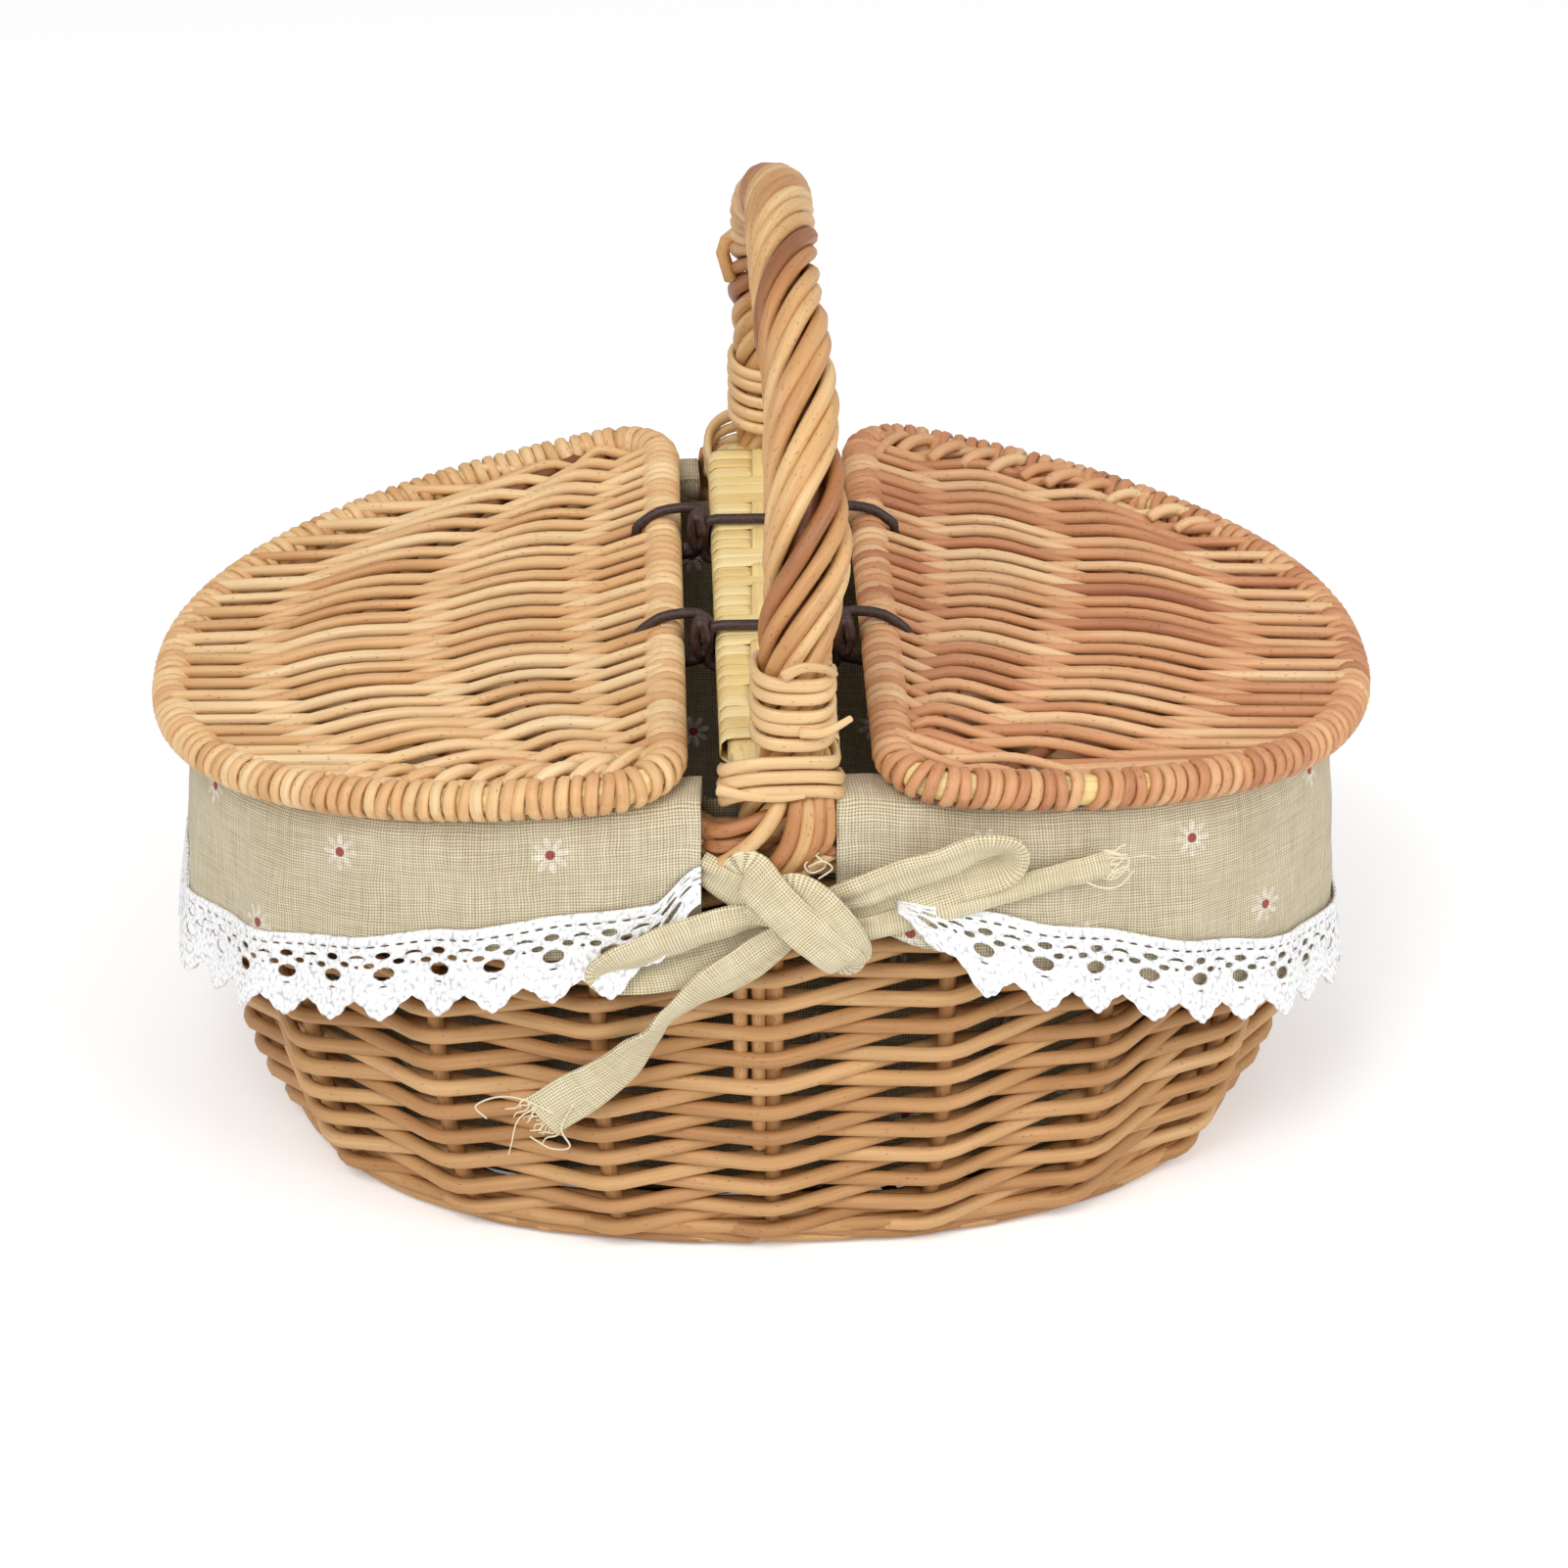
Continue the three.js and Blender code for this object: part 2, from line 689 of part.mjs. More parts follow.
function bindingPoints(side) {
  const points = [];
  const count = Math.round(bindingTurns * bindingStepsPerTurn);
  for (let i = 0; i <= count; i += 1) {
    const n = i / bindingStepsPerTurn;
    const a = n * turn;
    const lift = smooth(2.25, 2.7, n);
    const low = lastLowFront + lowTurnPitch * (n - 2.25) + lowTurnTilt * (Math.sin(a) - 1);
    const high = n < 3.25
      ? mix(lastLowFront, highTurnStart, THREE.MathUtils.clamp(n - 2.25, 0, 1))
      : highTurnStart + highTurnPitch * (n - 3.25);
    const halfX = mix(lowHalfX, highHalf, lift);
    const halfY = mix(lowHalfY, highHalf, lift);
    const z = mix(low, high, lift);
    const power = mix(3, 2, lift);
    const c = Math.cos(a);
    const s = Math.sin(a);
    const x = mix(barCentre, legX(side, z), lift) - halfX * Math.sign(c) * Math.abs(c) ** (2 / power);
    const out = halfY * Math.sign(s) * Math.abs(s) ** (2 / power);
    points.push(new THREE.Vector3(x, side * (handleHalfSpan + out), z));
  }
  return points;
}

// The least gap between two turns of a winding, measured from point to point.
function leastGap(points, radius, stepsPerTurn) {
  let least = Infinity;
  for (let i = 0; i < points.length; i += 1) {
    for (let j = i + Math.round(stepsPerTurn / 2); j < points.length; j += 1) {
      least = Math.min(least, points[i].distanceTo(points[j]));
    }
  }
  return least - 2 * radius;
}

function makeBinding(name, side) {
  const points = bindingPoints(side);
  const up = new THREE.Vector3(0, 0, 1);
  const rings = cordRings(points, caneRadius, bindingSides, up, false);
  console.log(`${name} least gap to itself ${leastGap(points, caneRadius,
    bindingStepsPerTurn).toFixed(2)} mm`);
  add(name, loft(rings, false), willowLight, 0.6, hamper);
}

// Thongs. Each bar loop goes round the bar, with a knot in the gap to each lid.
function makeBarThong(name, y) {
  const out = thongRadius + fitGap;
  const halfX = barHalfWidth + out;
  const high = barTop + out;
  const low = barBottom - out;
  const turnIn = 2;
  const corners = [
    [-halfX, low + turnIn], [-halfX, high - turnIn], [-halfX + turnIn, high],
    [halfX - turnIn, high], [halfX, high - turnIn], [halfX, low + turnIn],
    [halfX - turnIn, low], [-halfX + turnIn, low],
  ];
  const points = corners.map(([x, z]) => new THREE.Vector3(barCentre + x, y, z));
  const loop = loft(cordRings(points, thongRadius, 6, new THREE.Vector3(0, 1, 0), true), true);
  const parts = [loop];
  for (const way of [-1, 1]) {
    const knot = new THREE.LatheGeometry([
      new THREE.Vector2(0, -knotLength / 2),
      new THREE.Vector2(knotRadius * 0.7, -knotLength / 2),
      new THREE.Vector2(knotRadius, 0),
      new THREE.Vector2(knotRadius * 0.7, knotLength / 2),
      new THREE.Vector2(0, knotLength / 2),
    ], 8);
    knot.rotateX(Math.PI / 2);
    knot.translate(barCentre + way * (halfX + 1), y, lidPlaneHeight);
    parts.push(knot);
  }
  add(name, joined(parts), darkLeather, 0.5, hamper);
}

// Lids. Each is built flat in its own group: X outward from its inner edge, Z up.
const lidAngle = Math.atan(lidSlope);
const shrink = Math.cos(lidAngle);

function lidReach(side, distance) {
  return (distance + side * -barCentre - lidInnerEdge) / shrink;
}

function lidEdgeWidth(distance) {
  const share = Math.min(1, distance / lidHalfLength);
  return lidHalfWidth * (1 - share ** lidPower) ** (1 / lidPower);
}

// The border's centre line, anticlockwise, with distances measured from the middle of
// the hamper turned into distances from the lid's inner edge.
function lidOutline(side) {
  const inner = lidInnerEdge + side * barCentre + borderRadius * shrink;
  const cornerX = inner + lidCornerRadius * shrink;
  const cornerY = lidEdgeWidth(cornerX);
  const half = [];
  const arcSteps = 3;
  for (let i = 0; i < arcSteps; i += 1) {
    const a = (Math.PI / 2) * (i / arcSteps);
    const x = cornerX - (cornerX - inner) * Math.cos(a);
    half.push([x, cornerY - lidCornerRadius * (1 - Math.sin(a))]);
  }
  const outerSteps = 8;
  const t0 = Math.acos((cornerX / lidHalfLength) ** (lidPower / 2));
  for (let i = 0; i <= outerSteps; i += 1) {
    const t = mix(t0, 0, (i / outerSteps) ** 0.9);
    const x = lidHalfLength * Math.cos(t) ** (2 / lidPower);
    half.push([x, lidHalfWidth * Math.sin(t) ** (2 / lidPower)]);
  }
  const front = half.map(([x, y]) => new THREE.Vector2(lidReach(side, x), -y));
  const back = half.slice(0, -1).reverse()
    .map(([x, y]) => new THREE.Vector2(lidReach(side, x), y));
  return front.concat(back);
}

function lidRing(outline, radius, sides) {
  const points = outline.map((p) => new THREE.Vector3(p.x, p.y, 0));
  return loft(cordRings(points, radius, sides, new THREE.Vector3(0, 0, 1), true), true);
}

// A rib's plan: x along the lid as a function of y. The ribs start past the thongs.
const thongMiddle = borderRadius + thongSeat;
const thongRoom = thongMiddle + thongReach + thongRadius + ribRadius;
const ribsFrom = lidInnerEdge + barCentre + thongRoom * shrink;

function ribDistance(rib, y) {
  const middle = mix(ribsFrom, lidHalfLength, rib.share);
  return middle - rib.bow * (y / lidHalfWidth) ** 2;
}

function ribEnd(rib, gap) {
  let low = 0;
  let high = lidHalfWidth;
  for (let i = 0; i < 30; i += 1) {
    const middle = (low + high) / 2;
    const x = ribDistance(rib, middle);
    const slant = Math.atan(lidEdgeWidth(x) - lidEdgeWidth(x + 1));
    const room = (lidEdgeWidth(x) - middle) * Math.cos(slant) - ribRadius * Math.sin(slant);
    if (room > gap) low = middle;
    else high = middle;
  }
  return low;
}

function ribKnots(rib) {
  const end = ribEnd(rib, frameRadius + fitGap + ribEndRoom);
  const knots = [];
  for (let i = 0; i <= ribSteps; i += 1) {
    knots.push(mix(-end, end, i / ribSteps));
  }
  return knots;
}

function ribRod(side, rib, radius, knots) {
  const points = knots.map((y) => {
    return new THREE.Vector3(lidReach(side, ribDistance(rib, y)), y, 0);
  });
  return loft(cordRings(points, radius, 6, new THREE.Vector3(0, 0, 1), false), false);
}

// The woven panel's thickness: its rods bulge over each rib and sink between the ribs.
function wavyPanel(side, ribs) {
  const reach = lidHalfLength + lidEndOverhang;
  const thick = lidPanelThickness.atRibs / 2;
  const thin = lidPanelThickness.between / 2;
  const stations = panelStations.map((share) => share * (lidHalfWidth + borderRadius));
  const rings = stations.map((y) => {
    const waves = [[lidInnerEdge - borderRadius, thin]];
    let before = lidInnerEdge;
    for (const place of ribs.map((rib) => ribDistance(rib, y))) {
      waves.push([mix(before, place, 0.5), thin]);
      waves.push([place, thick]);
      before = place;
    }
    waves.push([mix(before, reach, 0.5), thin]);
    waves.push([reach, thin]);
    const top = waves.map(([x, z]) => new THREE.Vector3(lidReach(side, x), y, z));
    const under = waves.map(([x, z]) => new THREE.Vector3(lidReach(side, x), y, -z));
    return top.concat(under.reverse());
  });
  return loft(rings, false);
}

function lidThong(y, radius) {
  const points = [];
  const steps = 10;
  for (let i = 0; i < steps; i += 1) {
    const a = (turn * i) / steps;
    const x = thongMiddle + thongReach * Math.cos(a);
    const z = (borderRadius + thongRadius + 0.9) * Math.sin(a);
    points.push(new THREE.Vector3(x, y, z));
  }
  return loft(cordRings(points, radius, 6, new THREE.Vector3(0, 1, 0), true), true);
}

function makeLid(label, side, ribs, colour) {
  const pivot = new THREE.Group();
  pivot.position.set(barCentre + side * lidInnerEdge, 0, lidPlaneHeight);
  pivot.rotation.z = side > 0 ? 0 : Math.PI;
  const lid = new THREE.Group();
  lid.rotation.y = lidAngle;
  pivot.add(lid);
  hamper.add(pivot);

  const outline = lidOutline(side);
  const slab = new THREE.ExtrudeGeometry(new THREE.Shape(outline),
    { depth: lidPanelThickness.atRibs, bevelEnabled: false });
  slab.translate(0, 0, -lidPanelThickness.atRibs / 2);
  const panel = geometryOf(solidOf(slab).intersect(solidOf(wavyPanel(side, ribs))));
  const border = lidRing(outline, borderRadius / Math.cos(Math.PI / 8), 8);
  const channel = lidRing(outline, frameRadius + tunnelGap, 6);
  const tunnels = ribs.map((rib) => {
    const end = ribEnd(rib, tunnelEndGap);
    return ribRod(side, rib, ribRadius + curvedTunnelGap, [-end, ...ribKnots(rib), end]);
  });
  const windows = frameWindows.map((distance) => {
    const y = lidEdgeWidth(distance);
    const x = lidReach(side, distance);
    return box(x - windowLength / 2, x + windowLength / 2, -y - 2 * borderRadius, -y, -2, 2);
  });
  const step = thongRadius + knotRadius + fitGap;
  const thongYs = thongPlaces.map((y) => side * (y + step));
  const thongHoles = thongYs.map((y) => lidThong(y, thongRadius + tunnelGap));
  const weave = cut(joined([panel, border]), [channel, ...tunnels, ...windows, ...thongHoles]);
  add(`${label}_lid_weave`, weave, colour, 0.7, lid);
  add(`${label}_lid_frame`, lidRing(outline, frameRadius, 6), paleChip, 0.6, lid);
  ribs.forEach((rib, k) => {
    const shape = ribRod(side, rib, ribRadius, ribKnots(rib));
    add(`${label}_lid_rib_${k + 1}`, shape, willowBrown, 0.7, lid);
  });
  thongYs.forEach((y, k) => {
    const place = k === 0 ? "back" : "front";
    add(`${label}_lid_thong_${place}`, lidThong(y, thongRadius), darkLeather, 0.5, lid);
  });
}

// Liner bag: an open cloth bag that lines the base and the wall up to the rim.
function makeBag() {
  const out = -wallThickness - bagGap;
  const inn = out - clothThickness;
  const floor = baseThickness + fitGap;
  const heights = [0, 0.25, 1];
  const rise = (share, base) => (t, x) => mix(base, rimTopAt(t, x), share);
  const outer = heights.map((share) => bodyRing(rise(share, floor), out));
  const inner = heights.map((share) => bodyRing(rise(share, floor + clothThickness), inn));
  add("liner_bag", loft(outer.concat(inner.reverse()), false), linen, 0.95, hamper);
}

// Skirts: cloth folded over the rim and hung outside it, with a lace edge below.
function skirtFoot(x) {
  const away = Math.abs(x - barCentre);
  const share = THREE.MathUtils.clamp((away - slitHalfWidth) / (rimHalfLength - slitHalfWidth), 0, 1);
  const atEnd = x < barCentre ? skirtDrop.atLeftEnd : skirtDrop.atRightEnd;
  const drop = mix(skirtDrop.atSlit, atEnd, share ** 1.4);
  return lidPlaneHeight - drop;
}

function fold(length, share) {
  return foldDepth * share * 0.5 * (1 - Math.cos((turn * length) / foldLength));
}

// The places along a skirt, each with its oval angle and its length from the slit.
function skirtPlaces(side, count) {
  const slit = barCentre + side * (slitHalfWidth + 0.5);
  const t0 = angleAt(slit, -1);
  const t1 = side > 0 ? angleAt(slit, 1) : angleAt(slit, 1) - turn;
  const angles = evenAngles(t0, t1, count, true);
  let length = 0;
  return angles.map((t, i) => {
    const here = wallPoint(t, rimHalfWidth, 0);
    if (i > 0) length += here.distanceTo(wallPoint(angles[i - 1], rimHalfWidth, 0));
    return { t, x: here.x, length };
  });
}

// How far the hanging cloth's middle stands off the wall at a share of its drop.
function hangOffset(place, share) {
  const end = Math.abs(place.x) / rimHalfLength;
  const flare = mix(skirtFlareFront, skirtFlareEnd, end ** 2) * share;
  return skirtGap + clothThickness / 2 + flare + fold(place.length, share);
}

function sheetSection(points, thickness) {
  const front = [];
  const back = [];
  points.forEach((p, i) => {
    const before = points[Math.max(0, i - 1)].at;
    const after = points[Math.min(points.length - 1, i + 1)].at;
    const along = after.clone().sub(before).normalize();
    const normal = new THREE.Vector3().crossVectors(along, p.side).normalize();
    front.push(p.at.clone().addScaledVector(normal, thickness / 2));
    back.push(p.at.clone().addScaledVector(normal, -thickness / 2));
  });
  return front.concat(back.reverse());
}

function tangentAt(t, z) {
  const step = 0.01;
  return wallPoint(t + step, z, 0).sub(wallPoint(t - step, z, 0)).normalize();
}

const hangShares = [0.15, 0.55, 1];

function makeSkirt(name, side) {
  const rings = skirtPlaces(side, skirtColumns).map((place) => {
    const high = rimHighAt(place.x) + skirtSeatGap + clothThickness / 2;
    const tangent = tangentAt(place.t, rimHalfWidth);
    const points = [];
    const put = (offset, z) => {
      points.push({ at: wallPoint(place.t, z, offset), side: tangent });
    };
    put(-wallThickness - bagGap - clothThickness / 2, high);
    put(-4, high);
    put(skirtGap, high - 1.5);
    for (const share of hangShares) {
      put(hangOffset(place, share), mix(high, skirtFoot(place.x), share));
    }
    return sheetSection(points, clothThickness);
  });
  add(name, loft(rings, false), linen, 0.95, hamper);
}

function makeLace(name, side) {
  const edge = skirtPlaces(side, skirtColumns).pop().length;
  const scallops = Math.round(edge / scallopLength);
  const rings = skirtPlaces(side, 2 * scallops + 1).map((place, i) => {
    const tangent = tangentAt(place.t, rimHalfWidth);
    const top = skirtFoot(place.x) - fitGap;
    const bottom = top - laceDepth + (i % 2 === 0 ? scallopDepth : 0);
    const points = [top, bottom].map((z) => ({
      at: wallPoint(place.t, z, hangOffset(place, 1)), side: tangent,
    }));
    return sheetSection(points, laceThickness);
  });
  add(name, loft(rings, false), laceWhite, 0.9, hamper);
}

// Bows: a knot with a folded loop and a flat tail on each side, in front of the skirts.
// Each way point gives its x and height from the knot, and how far it stands off.
const leftLoopWay = [[-7, 0, -1], [-29, -6, 5], [-45, -12, 7], [-57, -15, 5]];
const rightLoopWay = [[7, 1, -1], [29, 7, 6], [47, 12, 8], [61, 15, 6]];
const leftTailWay = [[-6, -4, -1], [-25, -25, 3], [-43, -42, 4], [-63, -60, 4],
  [-77, -70, 3]];
const rightTailWay = [[7, -3, -1], [35, 1, 2], [63, 6, 2.5], [91, 10, 3]];

function frontPoint(x, z, offset) {
  return wallPoint(angleAt(x, -1), z, offset);
}

function stripRings(way, widths, thickness) {
  const curve = new THREE.CatmullRomCurve3(way.map(([x, z, off]) =>
    frontPoint(bowCentre + x, bowHeight + z, bowOffset + thickness / 2 + off)));
  const steps = 7;
  const rings = [];
  for (let i = 0; i <= steps; i += 1) {
    const at = curve.getPoint(i / steps);
    const along = curve.getTangent(i / steps);
    const x = THREE.MathUtils.clamp(at.x, -rimHalfLength, rimHalfLength);
    const ahead = wallPoint(angleAt(x, -1), at.z, 1).sub(wallPoint(angleAt(x, -1), at.z, 0));
    const across = new THREE.Vector3().crossVectors(ahead, along).normalize();
    const width = widths(i / steps) / 2;
    const half = thickness / 2;
    rings.push([[-1, 0], [-0.75, 1], [0.75, 1], [1, 0], [0.75, -1], [-0.75, -1]]
      .map(([w, h]) => at.clone().addScaledVector(across, w * width)
        .addScaledVector(ahead, h * half)));
  }
  return rings;
}

function makeBow(place, spin) {
  const group = new THREE.Group();
  group.rotation.z = spin;
  hamper.add(group);
  const knot = new THREE.SphereGeometry(1, 8, 6);
  knot.scale(knotSize.x, knotSize.y, knotSize.z);
  const centre = frontPoint(bowCentre, bowHeight, fitGap + knotSize.y - knotSeat);
  knot.translate(centre.x, centre.y, centre.z);
  const hollow = new THREE.SphereGeometry(1, 8, 6);
  hollow.scale(knotSize.x + fitGap, knotSize.y + fitGap, knotSize.z + fitGap);
  hollow.translate(centre.x, centre.y, centre.z);
  const loopWidth = (s) => mix(10, stripWidth, smooth(0, 0.5, s)) * (1 - 0.35 * smooth(0.8, 1, s));
  const tailWidth = (s) => mix(9, stripWidth, smooth(0, 0.5, s));
  const strips = [[leftLoopWay, leftTailWay, "left"], [rightLoopWay, rightTailWay, "right"]];
  add(`${place}_bow_knot`, knot, linen, 0.95, group);
  for (const [loopWay, tailWay, label] of strips) {
    const loop = loft(stripRings(loopWay, loopWidth, loopThickness), false);
    const tail = loft(stripRings(tailWay, tailWidth, tailThickness), false);
    add(`${place}_bow_${label}`, cut(joined([loop, tail]), [hollow]), linen, 0.95, group);
  }
}

makeBase();
makeWall();
makeHandle();
makeBar();
makeBinding("collar_front", -1);
makeBinding("collar_back", 1);
makeBarThong("bar_thong_back", thongPlaces[0]);
makeBarThong("bar_thong_front", thongPlaces[1]);
makeLid("left", -1, leftRibs, willowLight);
makeLid("right", 1, rightRibs, willowLight);
makeBag();
makeSkirt("skirt_left", -1);
makeSkirt("skirt_right", 1);
makeLace("lace_left", -1);
makeLace("lace_right", 1);
makeBow("front", 0);
makeBow("back", Math.PI);

export default hamper;
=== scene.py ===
"""A two-lid willow picnic hamper with a rope handle, a linen liner, lace and bows.

Metres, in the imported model's frame: +Z up, +X to the right, -Y to the front.
"""
import math
from contextlib import contextmanager

import bmesh
import bpy
import numpy as np
from mathutils import Matrix, Vector


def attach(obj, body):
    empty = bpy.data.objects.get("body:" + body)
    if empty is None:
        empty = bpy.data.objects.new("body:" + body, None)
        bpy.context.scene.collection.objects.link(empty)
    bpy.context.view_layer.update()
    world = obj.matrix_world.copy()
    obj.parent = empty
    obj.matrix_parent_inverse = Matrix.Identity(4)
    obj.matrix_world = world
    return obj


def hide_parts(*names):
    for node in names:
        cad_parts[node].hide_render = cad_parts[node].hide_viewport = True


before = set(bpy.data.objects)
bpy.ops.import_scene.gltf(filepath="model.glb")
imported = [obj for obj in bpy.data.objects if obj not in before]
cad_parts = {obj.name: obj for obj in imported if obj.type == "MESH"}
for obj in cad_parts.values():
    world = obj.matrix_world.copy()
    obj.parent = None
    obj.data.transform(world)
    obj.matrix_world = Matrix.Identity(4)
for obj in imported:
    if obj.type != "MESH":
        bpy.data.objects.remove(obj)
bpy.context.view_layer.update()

bl_info = {
    "name": "Willow Picnic Hamper",
    "version": (1, 0, 0),
    "blender": (4, 5, 0),
    "location": "3D View > Sidebar > Hamper",
    "description": "Builds a woven two-lid picnic hamper with its linen liner",
    "category": "Add Mesh",
}

MM = 0.001
TURN = 2 * math.pi

# Body, as the solids have it
RIM_HALF_LENGTH = 178 * MM
RIM_HALF_WIDTH = 122.5 * MM
BASE_HALF_LENGTH = 153 * MM
BASE_HALF_WIDTH = 113.5 * MM
OVAL_POWER = 2.3
FLARE_HEIGHT = 28 * MM
BELLY_SWELL = 2.5 * MM
WALL_THICKNESS = 16 * MM
WALL_MIDDLE = -WALL_THICKNESS / 2
LOWEST_KNEE = 7.3 * MM
RIM_DEPTH = 25 * MM
STAKE_PLACES = 18
STAKE_RADIUS = 2.6 * MM

# Lids
LID_PLANE = 172 * MM
LID_HALF_LENGTH = 186 * MM
LID_HALF_WIDTH = 126 * MM
LID_POWER = 2.28
LID_SLOPE = 0.155
LID_CORNER = 17 * MM
BORDER_RADIUS = 6.5 * MM
LID_UNDERSIDE = LID_PLANE - BORDER_RADIUS
RIB_RADIUS = 2.1 * MM
WEAVE_HEIGHT = 3.6 * MM
RIB_BOW_WIDTH = 126 * MM
# Each rib's distance from the middle, its ends' bow inward and their lean, in mm
RIBS = {
    "left": [(79, 34, 0), (133, 86, 0)],
    "right": [(70, 16, 20), (121, 46, 20)],
}

# Bar, handle and hinges
BAR_CENTRE = 2.5 * MM
BAR_HALF_WIDTH = 18 * MM
BAR_TOP = 176.3 * MM
BAR_THICKNESS = 10.3 * MM
WRAP_HALF_LENGTH = 103 * MM
LID_INNER_EDGE = BAR_HALF_WIDTH + 9 * MM
HANDLE_HALF_SPAN = 115 * MM
ARCH_START = 200 * MM
ARCH_RISE = 95.5 * MM
HANDLE_TOP_X = 6 * MM
# The sines of the arch's angle between which the handle swings to its place at the top
TOP_SWING = (0.75, 1.0)
# How far each leg's foot and shoulder stand to the right, at the front and at the back
LEGS = {-1: (6 * MM, 9.4 * MM), 1: (4.5 * MM, 3.5 * MM)}
BAR_BOTTOM = BAR_TOP - BAR_THICKNESS
BAR_MIDDLE = (BAR_TOP + BAR_BOTTOM) / 2
RIM_LOW = BAR_BOTTOM - 10.2 * MM
ROPE_FOOT = RIM_LOW + 0.3 * MM
HANDLE_FOOT = ROPE_FOOT - 8 * MM
SLIT_HALF_WIDTH = 21.5 * MM
THONG_PLACES = {"back": 43 * MM, "front": -34 * MM}
THONG_STEP = 4.6 * MM
THONG_RADIUS = 1.75 * MM
THONG_POWER = 0.62

SEEDS = {"side": 11, "foot": 12, "rim": 13, "left": 21, "right": 22, "handle": 31,
         "binding": 32, "bar": 33, "base": 14, "skirt": 41, "bow": 51}


def smooth(low, high, value):
    share = np.clip((value - low) / (high - low), 0, 1)
    return share * share * (3 - 2 * share)


def mix(a, b, share):
    return a + (b - a) * share


def xyz(x, y, z):
    return np.stack(np.broadcast_arrays(x, y, z), -1)


def signed_power(value, exponent):
    """A power of the value's size, with its sign."""
    return np.sign(value) * np.abs(value) ** exponent


def run_along(points):
    """The length along a line of points, from its first point to each one."""
    return np.concatenate([[0], np.cumsum(np.linalg.norm(np.diff(points, axis=0), axis=1))])


def evenly(points, count, closed=False):
    """Points at even spacing along a line of points, and the length at each one."""
    points = np.asarray(points, float)
    if closed:
        points = np.vstack([points, points[:1]])
    length = run_along(points)
    even = np.linspace(0, length[-1], count, endpoint=not closed)
    return np.stack([np.interp(even, length, column) for column in points.T], -1), even


def unit(directions):
    return directions / np.linalg.norm(directions, axis=1)[:, None]


# The body's surface

def half_length(z):
    return RIM_HALF_LENGTH - (RIM_HALF_LENGTH - BASE_HALF_LENGTH) * np.exp(-z / FLARE_HEIGHT)


def half_width(z):
    swell = BELLY_SWELL * np.sin(np.pi * np.minimum(1, z / LID_UNDERSIDE))
    return RIM_HALF_WIDTH - (RIM_HALF_WIDTH - BASE_HALF_WIDTH) * np.exp(-z / FLARE_HEIGHT) + swell


def wall_point(t, z, offset):
    """Points on the wall at oval angles t and heights z, moved outward by offset."""
    t, z, offset = np.broadcast_arrays(np.asarray(t, float), z, offset)
    a, b = half_length(z), half_width(z)
    c, s = np.cos(t), np.sin(t)
    x, y = a * signed_power(c, 2 / OVAL_POWER), b * signed_power(s, 2 / OVAL_POWER)
    nx = signed_power(c, 2 - 2 / OVAL_POWER) / a
    ny = signed_power(s, 2 - 2 / OVAL_POWER) / b
    length = np.hypot(nx, ny)
    return xyz(x + offset * nx / length, y + offset * ny / length, z)


def x_at(t, z):
    """How far right the wall is at oval angles t, measured at height z."""
    return wall_point(t, z, 0)[..., 0]


FRONT_ANGLE = -math.pi / 2
FINE_ANGLES = np.linspace(FRONT_ANGLE, FRONT_ANGLE + TURN, 1441)
MEASURED_HEIGHT = 120 * MM
ROW_MEASURED_HEIGHT = 100 * MM
CLOTH_MEASURED_HEIGHT = 122.5 * MM
FINE_LENGTHS = run_along(wall_point(FINE_ANGLES, MEASURED_HEIGHT, 0))
PERIMETER = FINE_LENGTHS[-1]


def angle_at_length(length):
    """The oval angle at a length along the rim, counted from the middle of the front."""
    turns = np.floor(length / PERIMETER)
    return np.interp(length - turns * PERIMETER, FINE_LENGTHS, FINE_ANGLES) + turns * TURN


def angle_at_x(x, side):
    return side * np.arccos(signed_power(x / RIM_HALF_LENGTH, OVAL_POWER / 2))


def length_at_angle(t):
    return np.interp((t - FRONT_ANGLE) % TURN + FRONT_ANGLE, FINE_ANGLES, FINE_LENGTHS)


def lid_underside_at(x):
    away = np.maximum(0, np.abs(x - BAR_CENTRE) - LID_INNER_EDGE)
    return LID_UNDERSIDE - LID_SLOPE * away


def rim_high_at(x):
    return lid_underside_at(x) - 2.3 * MM


def rim_top_at(x):
    away = np.abs(x - BAR_CENTRE)
    dip = smooth(SLIT_HALF_WIDTH + 2 * MM, SLIT_HALF_WIDTH + 8 * MM, away)
    return mix(RIM_LOW, rim_high_at(x), dip)


def stake_angle(k):
    return float(angle_at_length(k * PERIMETER / STAKE_PLACES))


# Rods

class Rod:
    """One rod, cane or cord: its centre line, radii and tint, and how it is flattened."""

    def __init__(self, points, radius, tint=0.5, normals=None, flat=1.0, closed=False):
        self.points = np.asarray(points, float)
        self.radii = np.broadcast_to(np.asarray(radius, float), len(self.points)).copy()
        self.tint = tint
        self.normals = normals
        self.flat = flat
        self.closed = closed

    def with_ends(self):
        """The centre line with a rounded cut at each end."""
        if self.closed:
            return self.points, self.radii, self.normals
        first, last = self.points[0] - self.points[1], self.points[-1] - self.points[-2]
        first = first / np.linalg.norm(first) * self.radii[0]
        last = last / np.linalg.norm(last) * self.radii[-1]
        points = np.vstack([self.points[0] + 0.35 * first, self.points[0] + 0.25 * first,
                            self.points, self.points[-1] + 0.25 * last,
                            self.points[-1] + 0.35 * last])
        radii = np.concatenate([[0, 0.7 * self.radii[0]], self.radii,
                                [0.7 * self.radii[-1], 0]])
        normals = self.normals
        if normals is not None:
            normals = np.vstack([normals[:1], normals[:1], normals, normals[-1:], normals[-1:]])
        return points, radii, normals


# How far each rod's grain is moved along it, so that no two rods look the same
ROD_SHIFT = 0.37


